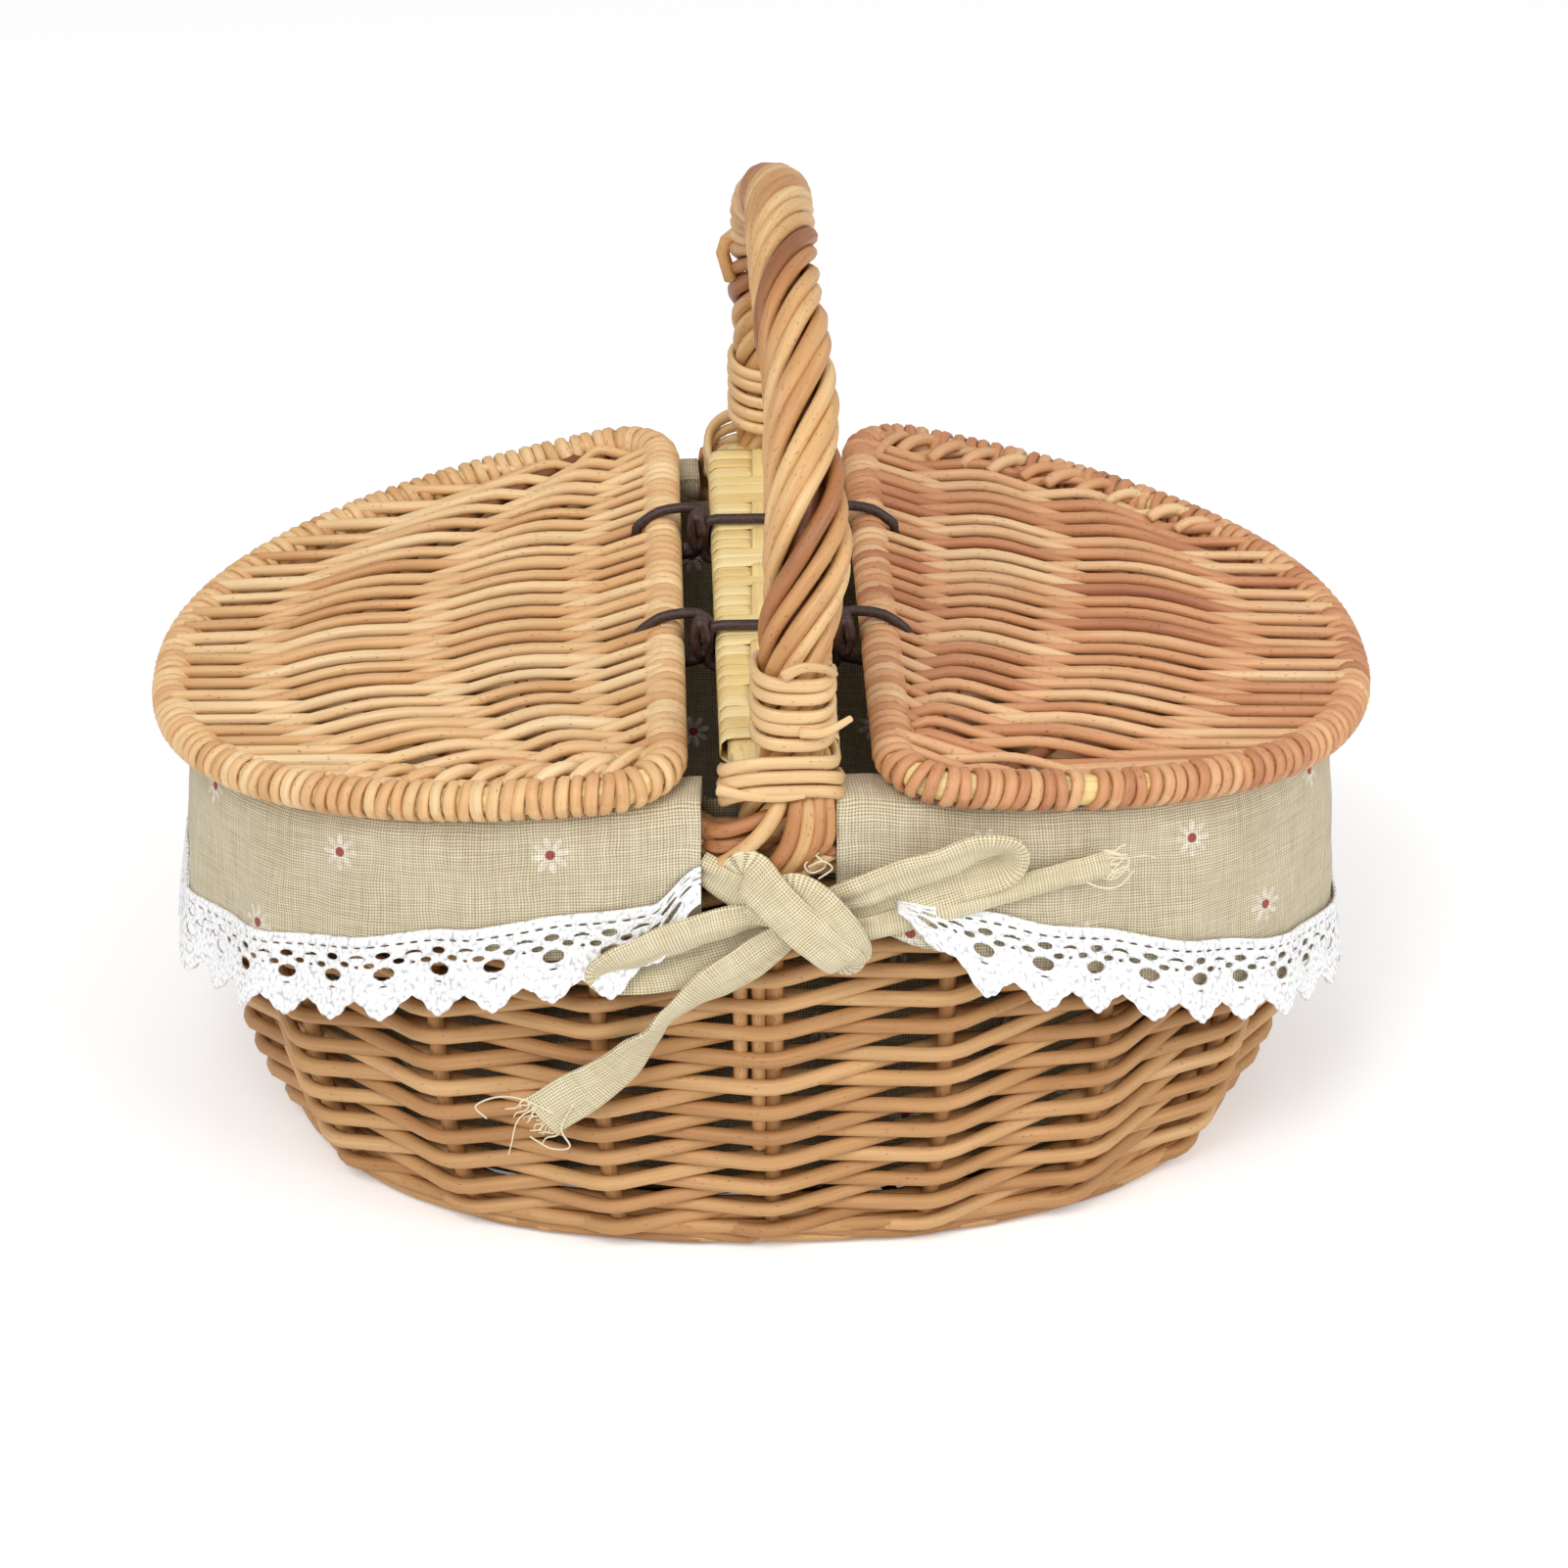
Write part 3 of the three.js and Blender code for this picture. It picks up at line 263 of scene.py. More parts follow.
def rods_object(name, rods, sides=8):
    """All the rods as one mesh, swept as curves, with coordinates that follow each rod."""
    curve = bpy.data.curves.new(name, "CURVE")
    curve.dimensions = "3D"
    curve.twist_mode = "MINIMUM"
    curve.bevel_depth = 1.0
    curve.bevel_resolution = (sides - 4) // 2
    rods = list(rods)
    shapes = [rod.with_ends() for rod in rods]
    for rod, (points, radii, _) in zip(rods, shapes):
        spline = curve.splines.new("POLY")
        spline.points.add(len(points) - 1)
        spline.points.foreach_set("co", np.c_[points, np.ones(len(points))].ravel())
        spline.points.foreach_set("radius", radii)
        spline.use_cyclic_u = rod.closed
    holder = bpy.data.objects.new(name, curve)
    bpy.context.scene.collection.objects.link(holder)
    mesh = bpy.data.meshes.new_from_object(holder)
    bpy.data.objects.remove(holder)
    bpy.data.curves.remove(curve)

    place = np.empty(len(mesh.vertices) * 3)
    mesh.vertices.foreach_get("co", place)
    place = place.reshape(-1, sides, 3)
    along_rod = np.empty(place.shape)
    tints = np.empty(place.shape[:2])
    angles = TURN * np.arange(sides) / sides
    row = 0
    for number, (rod, (points, radii, normals)) in enumerate(zip(rods, shapes)):
        count = len(points)
        rings = place[row:row + count]
        if normals is not None:
            out = rings - points[:, None]
            depth = np.einsum("ijk,ik->ij", out, normals)
            rings -= (1 - rod.flat) * depth[..., None] * normals[:, None]
        length = run_along(points) + ROD_SHIFT * number
        along_rod[row:row + count, :, 0] = length[:, None]
        along_rod[row:row + count, :, 1] = radii[:, None] * np.cos(angles)
        along_rod[row:row + count, :, 2] = radii[:, None] * np.sin(angles)
        tints[row:row + count] = rod.tint
        row += count
    mesh.vertices.foreach_set("co", place.ravel())
    attribute = mesh.attributes.new("rod_place", "FLOAT_VECTOR", "POINT")
    attribute.data.foreach_set("vector", along_rod.ravel())
    attribute = mesh.attributes.new("rod_tint", "FLOAT", "POINT")
    attribute.data.foreach_set("value", tints.ravel())
    return finished_object(name, mesh, merge=1e-7)


@contextmanager
def edited(mesh):
    """Opens a mesh for editing and writes it back."""
    bm = bmesh.new()
    bm.from_mesh(mesh)
    yield bm
    bm.to_mesh(mesh)
    bm.free()


def finished_object(name, mesh, merge=None):
    """An object for a mesh, with its doubles merged and its faces smooth."""
    if merge is not None:
        with edited(mesh) as bm:
            bmesh.ops.remove_doubles(bm, verts=bm.verts, dist=merge)
    mesh.shade_smooth()
    mesh.name = name
    obj = bpy.data.objects.new(name, mesh)
    bpy.context.scene.collection.objects.link(obj)
    return obj


def hand_in(obj, material, body, slot, *nodes):
    """Gives a piece its material and body, and hides the nodes that it stands for; the slot is not
    used.
    """
    obj.data.materials.clear()
    obj.data.materials.append(material)
    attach(obj, body)
    if nodes:
        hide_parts(*nodes)
    return obj


def rod_piece(name, rods, material, body, slot, *nodes, sides=8):
    """Rods made into one piece, which gets its material and body."""
    return hand_in(rods_object(name, rods, sides), material, body, slot, *nodes)


# Materials

def linear(colour):
    """A hex colour as scene linear RGB."""
    parts = [int(colour[i:i + 2], 16) / 255 for i in (0, 2, 4)]
    return [p / 12.92 if p <= 0.04045 else ((p + 0.055) / 1.055) ** 2.4 for p in parts]


class Nodes:
    """A short way to write a node material."""

    def __init__(self, name):
        self.material = bpy.data.materials.get(name) or bpy.data.materials.new(name)
        self.material.use_nodes = True
        self.tree = self.material.node_tree
        self.tree.nodes.clear()
        self.output = self.tree.nodes.new("ShaderNodeOutputMaterial")
        self.shader = self.add("ShaderNodeBsdfPrincipled")
        self.link(self.shader.outputs[0], self.output.inputs["Surface"])

    def add(self, kind, values=None, **settings):
        """A node with its settings, and what its inputs are given."""
        node = self.tree.nodes.new(kind)
        for key, value in settings.items():
            setattr(node, key, value)
        for key, value in (values or {}).items():
            self.put(node.inputs[key], value)
        return node

    def link(self, source, target):
        self.tree.links.new(source, target)

    def put(self, socket, value):
        if isinstance(value, bpy.types.NodeSocket):
            self.link(value, socket)
        elif socket.type == "RGBA" and len(value) == 3:
            socket.default_value = [*value, 1]
        else:
            socket.default_value = value

    def attribute(self, name, output):
        return self.add("ShaderNodeAttribute", attribute_name=name).outputs[output]

    def math(self, operation, a, b=0.0):
        return self.add("ShaderNodeMath", {0: a, 1: b}, operation=operation).outputs[0]

    def vector(self, operation, a, b):
        return self.add("ShaderNodeVectorMath", {0: a, 1: b}, operation=operation).outputs[0]

    def noise(self, vector, scale, detail=3.0, roughness=0.55, output="Fac"):
        return self.add("ShaderNodeTexNoise", {"Vector": vector, "Scale": scale, "Detail": detail,
                                               "Roughness": roughness}).outputs[output]

    def ramp(self, value, stops):
        node = self.add("ShaderNodeValToRGB", {0: value})
        elements = node.color_ramp.elements
        while len(elements) < len(stops):
            elements.new(1.0)
        for element, (position, colour) in zip(elements, stops):
            element.position = position
            element.color = [*colour, 1] if not isinstance(colour, float) else [colour] * 3 + [1]
        return node.outputs[0]

    def blend(self, share, a, b, mode="MIX"):
        return self.add("ShaderNodeMix", {0: share, 6: a, 7: b}, data_type="RGBA",
                        blend_type=mode).outputs[2]

    def red(self, colour):
        """The red channel of a colour, as a number for each cell."""
        return self.add("ShaderNodeSeparateColor", {0: colour}).outputs[0]

    def across_and_along(self, vector):
        """The first two numbers of a vector."""
        return self.add("ShaderNodeSeparateXYZ", {0: vector}).outputs[:2]

    def wave(self, operation, value):
        """The size of a sine or cosine."""
        return self.math("ABSOLUTE", self.math(operation, value))

    def bump(self, height, strength, distance):
        node = self.add("ShaderNodeBump", {"Strength": strength, "Distance": distance,
                                           "Height": height})
        self.link(node.outputs[0], self.shader.inputs["Normal"])

    def look(self, **sockets):
        """Sets the shader's sockets, whose names are given with underscores for spaces."""
        for name, value in sockets.items():
            self.put(self.shader.inputs[name.replace("_", " ")], value)


def willow(name, stops, roughness, knots, coat):
    """Peeled willow: streaks and stains along each rod, dark knots and a thin varnish."""
    m = Nodes(name)
    place = m.attribute("rod_place", "Vector")
    tint = m.attribute("rod_tint", "Fac")
    streaks = m.noise(m.vector("MULTIPLY", place, (30, 900, 900)), 1.0, 4.0, 0.6)
    stains = m.noise(m.vector("MULTIPLY", place, (22, 90, 90)), 1.0, 3.0, 0.5)
    shift = m.math("MULTIPLY", m.math("SUBTRACT", stains, 0.5), 0.9)
    base = m.ramp(m.math("ADD", tint, shift), stops)
    light = m.ramp(streaks, [(0.3, 0.66), (0.62, 1.0)])
    colour = m.blend(0.55, base, light, "MULTIPLY")
    cell = m.add("ShaderNodeTexVoronoi", {"Vector": m.vector("MULTIPLY", place, (75, 330, 330))})
    near = m.ramp(cell.outputs["Distance"], [(0.1, 1.0), (0.26, 0.0)])
    chosen = m.math("LESS_THAN", m.red(cell.outputs["Color"]), 0.3 * knots)
    knot = m.math("MULTIPLY", m.math("MULTIPLY", near, chosen), 0.8)
    colour = m.blend(knot, colour, linear("5a2f17"))
    m.look(Base_Color=colour, Coat_Weight=coat, Coat_Roughness=0.35,
           Roughness=m.ramp(streaks, [(0.3, roughness + 0.12), (0.7, roughness - 0.05)]))
    m.bump(m.math("SUBTRACT", streaks, knot), 0.35, 0.4 * MM)
    return m.material


def ramp_of(*colours):
    return [(i / (len(colours) - 1), linear(c)) for i, c in enumerate(colours)]


# Each willow: its name, its colours from the palest rod to the darkest, and its roughness,
# share of knots and varnish
WILLOWS = {
    "body": ("willow_body", "dcb27c d0a26c c4935e b58350 a06f42", 0.55, 0.5, 0.03),
    "left": ("willow_left_lid", "f6dcae efcb98 e6bb84 dba871 c8905c", 0.45, 0.7, 0.08),
    "right": ("willow_right_lid", "efcd9c e3b484 d69c6c c48459 a76745", 0.45, 0.9, 0.08),
    "handle": ("willow_handle", "eaca94 dbaf76 c8935c b57847 8f5833", 0.42, 1.3, 0.08),
    "chip": ("willow_chip", "f7dfa2 f0d38f e8c67f dfb870 cc9f58", 0.4, 0.2, 0.12),
    "cane": ("binding_cane", "eccb98 e3bd88 dab07a cfa069 b98853", 0.4, 0.5, 0.12),
    "dark": ("willow_dark", "b07844 9a6234 84502a 6f4022", 0.6, 0.5, 0.0),
}


def willow_materials():
    return {key: willow(name, ramp_of(*colours.split()), *rest)
            for key, (name, colours, *rest) in WILLOWS.items()}


def leather(settings):
    m = Nodes("dark_leather")
    coords = m.add("ShaderNodeTexCoord").outputs["Object"]
    grain = m.noise(coords, 900.0, 4.0)
    m.look(Base_Color=m.ramp(grain, [(0.35, linear("2a1a16")), (0.7, settings.leather_colour)]),
           Roughness=m.ramp(grain, [(0.3, 0.42), (0.7, 0.6)]))
    m.bump(grain, 0.5, 0.3 * MM)
    return m.material


# Body

def kneed(knees, ease=0.09, ends=0.03):
    """A line from knee to knee, rounded over the share ease and cut in by the share ends."""
    knees = np.asarray(knees, float)
    line = [knees[0]]
    for before, knee, after in zip(knees[:-2], knees[1:-1], knees[2:]):
        line += [mix(knee, before, ease), mix(knee, (before + after) / 2, ends),
                 mix(knee, after, ease)]
    return np.array(line + [knees[-1]])


def side_rods(settings):
    """Willow rods that each pass in front of a stake, climb behind the next one and go on."""
    rng = np.random.default_rng(SEEDS["side"])
    radius = settings.weaver_diameter / 2
    rise = settings.row_rise
    spacing = PERIMETER / STAKE_PLACES
    reach = STAKE_RADIUS + radius
    for start in range(STAKE_PLACES):
        knees = []
        for w in range(-1, 2 * STAKE_PLACES + 4):
            front = w % 2 == 0
            z = LOWEST_KNEE + rise * (w // 2 + (0 if front else 0.8)) + rng.normal(0, 0.3) * MM
            x = x_at(angle_at_length((start + w) * spacing), z)
            if z + radius > rim_high_at(x) - RIM_DEPTH - 0.3 * MM:
                break
            knees.append((start + w, z, reach if front else -reach))
        first = 0
        while first < len(knees) - 2:
            last = min(len(knees) - 1, first + 2 * int(rng.integers(4, 8)))
            line = kneed(knees[first:last + 1])
            points = wall_point(angle_at_length(line[:, 0] * spacing), line[:, 1],
                                WALL_MIDDLE + line[:, 2])
            thick = radius * np.linspace(*rng.uniform(0.9, 1.06, 2), len(points))
            yield Rod(points, thick, rng.uniform(0.2, 0.75))
            first = last


def wale_rods(heights, rng, radius, mid, reach, slope):
    """Rows of three rods that pass in front of two stakes and behind one."""
    steps = 6
    out_stakes = 2
    period = out_stakes + 1
    spacing = PERIMETER / STAKE_PLACES
    for row, height in enumerate(heights):
        for strand in range(period):
            u = np.arange(0, STAKE_PLACES * steps) / steps
            phase = (u + strand + row) % period
            side = np.cos(TURN * (phase / period - 0.5 * out_stakes / period))
            wave = np.clip(1.5 * side + 0.45, -1, 1)
            lift = slope * np.sin(TURN * phase / period)
            t = angle_at_length(u * spacing)
            z = height(x_at(t, ROW_MEASURED_HEIGHT)) + lift
            thick = radius * (1 + rng.uniform(-0.08, 0.08))
            yield Rod(wall_point(t, z, mid + wave * reach), thick,
                      rng.uniform(0.15, 0.85), closed=True)


def level_rows(levels, *shape):
    """Level rows of three rods, one row for each height."""
    return wale_rods([lambda x, z=z: np.full_like(x, z) for z in levels], *shape)


def foot_rods():
    """The first rows, which lie behind the stakes."""
    rng = np.random.default_rng(SEEDS["foot"])
    return level_rows((4.6 * MM, 9.3 * MM, 14 * MM), rng, 2.2 * MM, -11.5 * MM, 1.2 * MM, 1.2 * MM)


def base_rods():
    """Oval rounds of weavers over and under the radial sticks of the base."""
    rng = np.random.default_rng(SEEDS["base"])
    rounds = 13
    steps = 6
    sticks = STAKE_PLACES + 1
    u = np.arange(0, sticks * steps) / steps
    t = angle_at_length(u * PERIMETER / sticks)
    for ring in range(rounds):
        inset = (ring + 0.5) * (BASE_HALF_WIDTH - 6 * MM) / rounds
        scale = np.array([1 - inset / BASE_HALF_LENGTH, 1 - inset / BASE_HALF_WIDTH, 1])
        points = wall_point(t, 0.0, 0.0) * scale
        points[:, 2] = 4.9 * MM + np.cos(math.pi * (u + ring)) * 1.9 * MM
        yield Rod(points, 2.2 * MM, rng.uniform(0.1, 0.9), closed=True)
    yield from level_rows((3.2 * MM, 7 * MM), rng, 2.3 * MM, -8.5 * MM, 2.5 * MM, 0.5 * MM)


def stick_rods():
    """The sticks that the base is woven on."""
    for k in range(STAKE_PLACES):
        end = wall_point(stake_angle(k), 0.0, -7 * MM)
        points = np.array([mix(end * 0.05, end, s) for s in (0, 0.5, 1)])
        points[:, 2] = 4.6 * MM
        yield Rod(points, 2.0 * MM, 0.4)


def stake_rods():
    """The upright stakes, from the base up to the border."""
    rng = np.random.default_rng(SEEDS["rim"])
    for k in range(STAKE_PLACES):
        t = stake_angle(k)
        top = rim_high_at(x_at(t, MEASURED_HEIGHT)) - RIM_DEPTH
        z = np.linspace(STAKE_RADIUS, top, 16)
        # The stakes get only the darker tints of the body's willow, from 0.45 up: painted shade, as
        # they stand back among the rows.
        yield Rod(wall_point(t, z, WALL_MIDDLE), STAKE_RADIUS, rng.uniform(0.45, 0.75))


# Each rod of the slit under the handle: x, height and stand-off in mm, its radius and its tint
SLIT_RODS = (
    (((3, 168, -2), (1, 163, 3), (-4, 156, 5), (-11, 149, 4), (-18, 143, 1), (-22, 140, -3)),
     2.5, 0.3),
    (((7, 168, -2), (6.5, 162, 4), (4, 153, 6), (-1, 145, 5), (-7, 138, 3)), 2.5, 0.55),
    (((10, 168, -2), (10, 161, 4.5), (8.5, 153, 6), (5, 146, 5), (0, 139, 4)), 2.4, 0.4),
    (((13, 168, -1), (13, 161, 4), (12, 154, 5), (8, 147, 4), (4, 141, 2)), 2.5, 0.65),
    (((15.5, 167, -1), (16, 160, 2), (15.5, 153, 3), (12, 149, 2)), 2.4, 0.5),
    (((-20, 154, -3), (-15, 155.5, 1), (-8, 158, 2), (2, 161, 0), (8, 162, -4)), 2.4, 0.85),
    (((-20, 149, -3), (-15, 150.5, 1), (-8, 152, 1), (4, 153, -2)), 2.3, 0.75),
    (((12, 147, -1), (17, 148.5, 1), (19, 149, -3)), 2.3, 0.9),
    (((-5, 138, 2), (8, 143, 3), (16, 147, 1), (24, 148, -2)), 2.2, 0.05),
)


def root_rods():
    """The handle's roots, which splay out under the bar and run down beside the stakes."""
    for side in (-1, 1):
        spin = np.array([-side, -side, 1])
        for way, radius, tint in SLIT_RODS:
            here, _ = front_place(through(np.array(way) * MM, 22))
            yield Rod(here * spin, radius * MM, tint)
        for x, foot in ((-10 * MM, 62 * MM), (-4.3 * MM, 40 * MM), (1 * MM, 70 * MM)):
            t = float(angle_at_x(x, -1))
            z = np.linspace(foot, RIM_LOW - 14 * MM, 12)
            here = wall_point(t, z, WALL_MIDDLE + 0.6 * MM)
            yield Rod(here * spin, 2.3 * MM, 0.4)


def rim_rods():
    """The braided border: rows of rods that twine round each other up to the rim's top."""
    rng = np.random.default_rng(SEEDS["rim"])
    radius = 3.0 * MM
    rows = 4
    for row in range(rows):
        share = (row + 0.5) / rows

        def height(x, share=share):
            low = rim_high_at(x) - RIM_DEPTH + radius
            return mix(low, rim_top_at(x) - radius - 1 * MM, share ** 0.9)
        slope = (1 if row % 2 else -1) * 2.2 * MM
        yield from wale_rods([height], rng, radius * rng.uniform(0.9, 1.05), WALL_MIDDLE,
                             4.9 * MM, slope)


# Handle

def leg_x(side, z):
    foot, swing = LEGS[side]
    low = mix(BAR_CENTRE, foot, smooth(ROPE_FOOT + 4 * MM, ROPE_FOOT + 20 * MM, z))
    return mix(low, swing, smooth(ARCH_START + 5 * MM, ARCH_START + 38 * MM, z))


def handle_line(count=240):
    """The handle's centre line from the front foot to the back foot, and its length."""
    points = []
    for z in np.linspace(HANDLE_FOOT, ARCH_START, 24, endpoint=False):
        points.append((leg_x(-1, z), -HANDLE_HALF_SPAN, z))
    for a in np.linspace(0, math.pi, 120):
        y = -HANDLE_HALF_SPAN * math.cos(a)
        z = ARCH_START + ARCH_RISE * math.sin(a)
        x = mix(leg_x(-1 if y < 0 else 1, z), HANDLE_TOP_X, smooth(*TOP_SWING, math.sin(a)))
        points.append((x, y, z))
    for z in np.linspace(ARCH_START, HANDLE_FOOT, 25)[1:]:
        points.append((leg_x(1, z), HANDLE_HALF_SPAN, z))
    return evenly(points, count)


def line_frame(points):
    """The across and outward directions of a line that bends in the Y-Z plane."""
    along = unit(np.gradient(points, axis=0))
    across = unit(np.array([1.0, 0, 0]) - along[:, :1] * along)
    return across, np.cross(along, across)


# The rope's reach and the core's radius at heights up the handle
HANDLE_LEVELS = np.array([160, 186, 207, 235, 256, 276, 294]) * MM
ROPE_REACH = np.array([7.0, 7.4, 7.9, 9.2, 8.6, 8.6, 8.2]) * MM
CORE_RADII = np.array([4.6, 4.8, 5, 5.6, 5.2, 5.2, 5.0]) * MM
HANDLE_ROD_RADII = (2.15, 2.75)
# The rope spreads at its foot, and bows out to the right on the front leg
FOOT_REACH = 10.5 * MM
BOW_REACH = 2.6 * MM
BOW_HEIGHT = 238 * MM
BOW_SPAN = 19 * MM
# A cut rod that stands off the back half
STUB = ((4, 103, 259), (-2.7, 102, 255.5), (-8.6, 101, 251), (-9.8, 100.5, 247),
        (-7.2, 100, 238))


def handle_rods(settings):
    """Rods laid side by side round the core in one long twist."""
    rng = np.random.default_rng(SEEDS["handle"])
    line, length = handle_line()
    across, out = line_frame(line)
    count = settings.handle_rods
    z = line[:, 2]
    spread = 1 - smooth(ROPE_FOOT + 2 * MM, ROPE_FOOT + 12 * MM, z)
    reach_out = np.interp(z, HANDLE_LEVELS, ROPE_REACH)
    reach_x = mix(reach_out, FOOT_REACH, spread)
    bow = BOW_REACH * np.exp(-((z - BOW_HEIGHT) / BOW_SPAN) ** 2) * (line[:, 1] < 0)
    for k in range(count):
        turn = TURN * (k + rng.uniform(-0.1, 0.1)) / count + TURN * length / settings.rope_pitch
        turn = turn + np.interp(length, np.linspace(0, length[-1], 9), rng.normal(0, 0.06, 9))
        radius = rng.uniform(*HANDLE_ROD_RADII) * MM
        taper = np.interp(length, np.linspace(0, length[-1], 5),
                          radius * (1 + rng.uniform(-0.1, 0.1, 5)))
        right = np.cos(turn)
        points = (line + across * (reach_x * right + bow * np.maximum(0, right) ** 2)[:, None]
                  + out * (reach_out * np.sin(turn))[:, None])
        yield Rod(points, taper, rng.uniform(0.2, 1.0))
    yield Rod(line, np.interp(z, HANDLE_LEVELS, CORE_RADII), 1.3)
    yield Rod(np.array(STUB) * MM, 2.3 * MM, 0.35)


# Bindings

LAST_LOW_FRONT = BAR_TOP + 2.9 * MM
LOW_TURN_PITCH = 4.8 * MM
LOW_TURN_TILT = 7 * MM
LOW_TURN_HALF = (17.6 * MM, 11.3 * MM)
HIGH_TURN_START = 184.7 * MM
HIGH_TURN_PITCH = 4.9 * MM
HIGH_TURN_TILT = 1.5 * MM
HIGH_HALF = 11.5 * MM
CANE_FLATNESS = 0.66
BINDING_TURNS = 7.5
LOW_TURNS = 2.25


def binding_rod(side, settings):
    """One cane: low turns round the foot and the bar's end, then high turns round the foot."""
    steps = 30
    n = np.arange(0, int(BINDING_TURNS * steps) + 1) / steps
    a = n * TURN
    up = n - LOW_TURNS
    lift = smooth(LOW_TURNS, LOW_TURNS + 0.45, n)
    low = LAST_LOW_FRONT + LOW_TURN_PITCH * up + LOW_TURN_TILT * (np.sin(a) - 1)
    start = mix(LAST_LOW_FRONT, HIGH_TURN_START, np.clip(up, 0, 1))
    high = np.where(up < 1, start, HIGH_TURN_START + HIGH_TURN_PITCH * (up - 1))
    high = high + 0.5 * MM * np.sin(a * 0.37 + side)
    half_x = mix(LOW_TURN_HALF[0], HIGH_HALF, lift)
    half_y = mix(LOW_TURN_HALF[1], HIGH_HALF, lift)
    z = mix(low, high, lift)
    power = mix(3, 2.7, lift)
    c, s = np.cos(a), np.sin(a)
    centre = mix(BAR_CENTRE, leg_x(side, z), lift)
    z = z + HIGH_TURN_TILT * c * lift
    x = centre - half_x * signed_power(c, 2 / power)
    out = half_y * signed_power(s, 2 / power)
    width = settings.cane_diameter / 2 * (1.16 + 0.1 * np.sin(n * 3.1 + side))
    points = xyz(x, side * (HANDLE_HALF_SPAN + out), z)
    return Rod(points, width, 0.25, xyz(-c, side * s, 0.0), CANE_FLATNESS)


# Loose ends of the canes at the front: x, y beyond the foot's middle and height in mm
CANE_ENDS = (
    ((-16, 9.5, 169.5), (-8, 11.5, 168.5), (2, 12, 167.8), (9, 11.8, 168.5)),
    ((8, 12.3, 189.5), (14, 13, 189.6), (18.5, 12.5, 191.5), (22.5, 12, 193.8)),
    ((3, 12.5, 208), (8.5, 12.3, 210.5), (14.5, 11, 209.5), (18, 8, 206)),
)


def cane_ends(settings):
    count = 16
    normals = np.tile([0.0, -1, 0.0], (count, 1))
    for k, way in enumerate(CANE_ENDS):
        points = through(np.array(way) * MM, count)
        points[:, 1] = -(HANDLE_HALF_SPAN + points[:, 1])
        width = settings.cane_diameter / 2 * np.linspace(1.1, 0.6, count)
        yield Rod(points, width, 0.2 + 0.15 * k, normals, CANE_FLATNESS)


# Bar

def rounded_box(half_x, half_z, corner, count):
    """Points round a rounded rectangle, evenly spaced, with their outward directions."""
    points, normals = [], []
    for quarter, (right, up) in enumerate(((1, 1), (-1, 1), (-1, -1), (1, -1))):
        for step in range(5):
            a = math.radians(90 * quarter + 22.5 * step)
            points.append((right * (half_x - corner) + corner * math.cos(a),
                           up * (half_z - corner) + corner * math.sin(a)))
            normals.append((math.cos(a), math.sin(a)))
    points, normals = np.array(points + points[:1]), np.array(normals + normals[:1])
    length = run_along(points)
    even = np.linspace(0, length[-1], count, endpoint=False)
    place = np.stack([np.interp(even, length, points[:, i]) for i in (0, 1)], -1)
    out = np.stack([np.interp(even, length, normals[:, i]) for i in (0, 1)], -1)
    return place, unit(out)


CHIP_THICKNESS = 0.56 * MM
CHIP_POINTS = 40
# The leader strip's place along the bar, y and x in mm from the bar's middle
LEADER_WAY = np.array([(-100, -71, -4, 47, 85, 100),
                       (-6.6, -6.1, -3.7, -2.4, -1.3, -0.9)]) * MM


def bar_wraps(settings):
    """Flat chip wound round the bar like shingles, over and under a leader strip."""
    rng = np.random.default_rng(SEEDS["bar"])
    thick = CHIP_THICKNESS
    place, out = rounded_box(BAR_HALF_WIDTH - thick, BAR_THICKNESS / 2 - thick, 3.2 * MM,
                             CHIP_POINTS)
    count = int(2 * WRAP_HALF_LENGTH / settings.chip_width)
    pitch = 2 * WRAP_HALF_LENGTH / count
    over = []
    while len(over) < count:
        over += [not over or not over[-1]] * int(rng.integers(1, 4))
    for k in range(count):
        y = -WRAP_HALF_LENGTH + (k + 0.5) * pitch
        strip = np.interp(y, *LEADER_WAY)
        under = 0 if over[k] else 0.7 * MM
        tuck = under * np.exp(-((place[:, 0] - strip) / (3.4 * MM)) ** 4) * (place[:, 1] > 0)
        x = BAR_CENTRE + place[:, 0] - tuck * out[:, 0]
        z = BAR_MIDDLE + place[:, 1] - tuck * out[:, 1]
        lean = (0.9 + rng.normal(0, 0.2)) * MM
        across = place[:, 0] / BAR_HALF_WIDTH
        at_edge = smooth(-0.75, -1, across)
        slit = 0.5 * MM * at_edge * rng.uniform(0, 1)
        yy = y + lean * across * np.sign(place[:, 1]) + slit
        tilt = math.radians(2.6 + rng.normal(0, 0.8))
        normals = xyz(out[:, 0] * math.cos(tilt), math.sin(tilt), out[:, 1] * math.cos(tilt))
        width = pitch * (rng.uniform(0.59, 0.65) - 0.06 * at_edge)
        yield Rod(xyz(x, yy, z), width, rng.uniform(0.0, 0.5), normals, thick / pitch,
                  closed=True)
    y = np.linspace(-WRAP_HALF_LENGTH + 2 * MM, WRAP_HALF_LENGTH - 2 * MM, 4 * count)
    near = np.clip(((y + WRAP_HALF_LENGTH) / pitch).astype(int), 0, count - 1)
    raised = np.convolve([0.0 if over[k] else 1.0 for k in near], np.ones(3) / 3, "same")
    z = BAR_TOP - 1.1 * MM + raised * 1.5 * MM
    x = BAR_CENTRE + np.interp(y, *LEADER_WAY)
    yield Rod(xyz(x, y, z), 2.1 * MM, 0.3, np.tile([0.0, 0, 1], (len(y), 1)), 0.2)


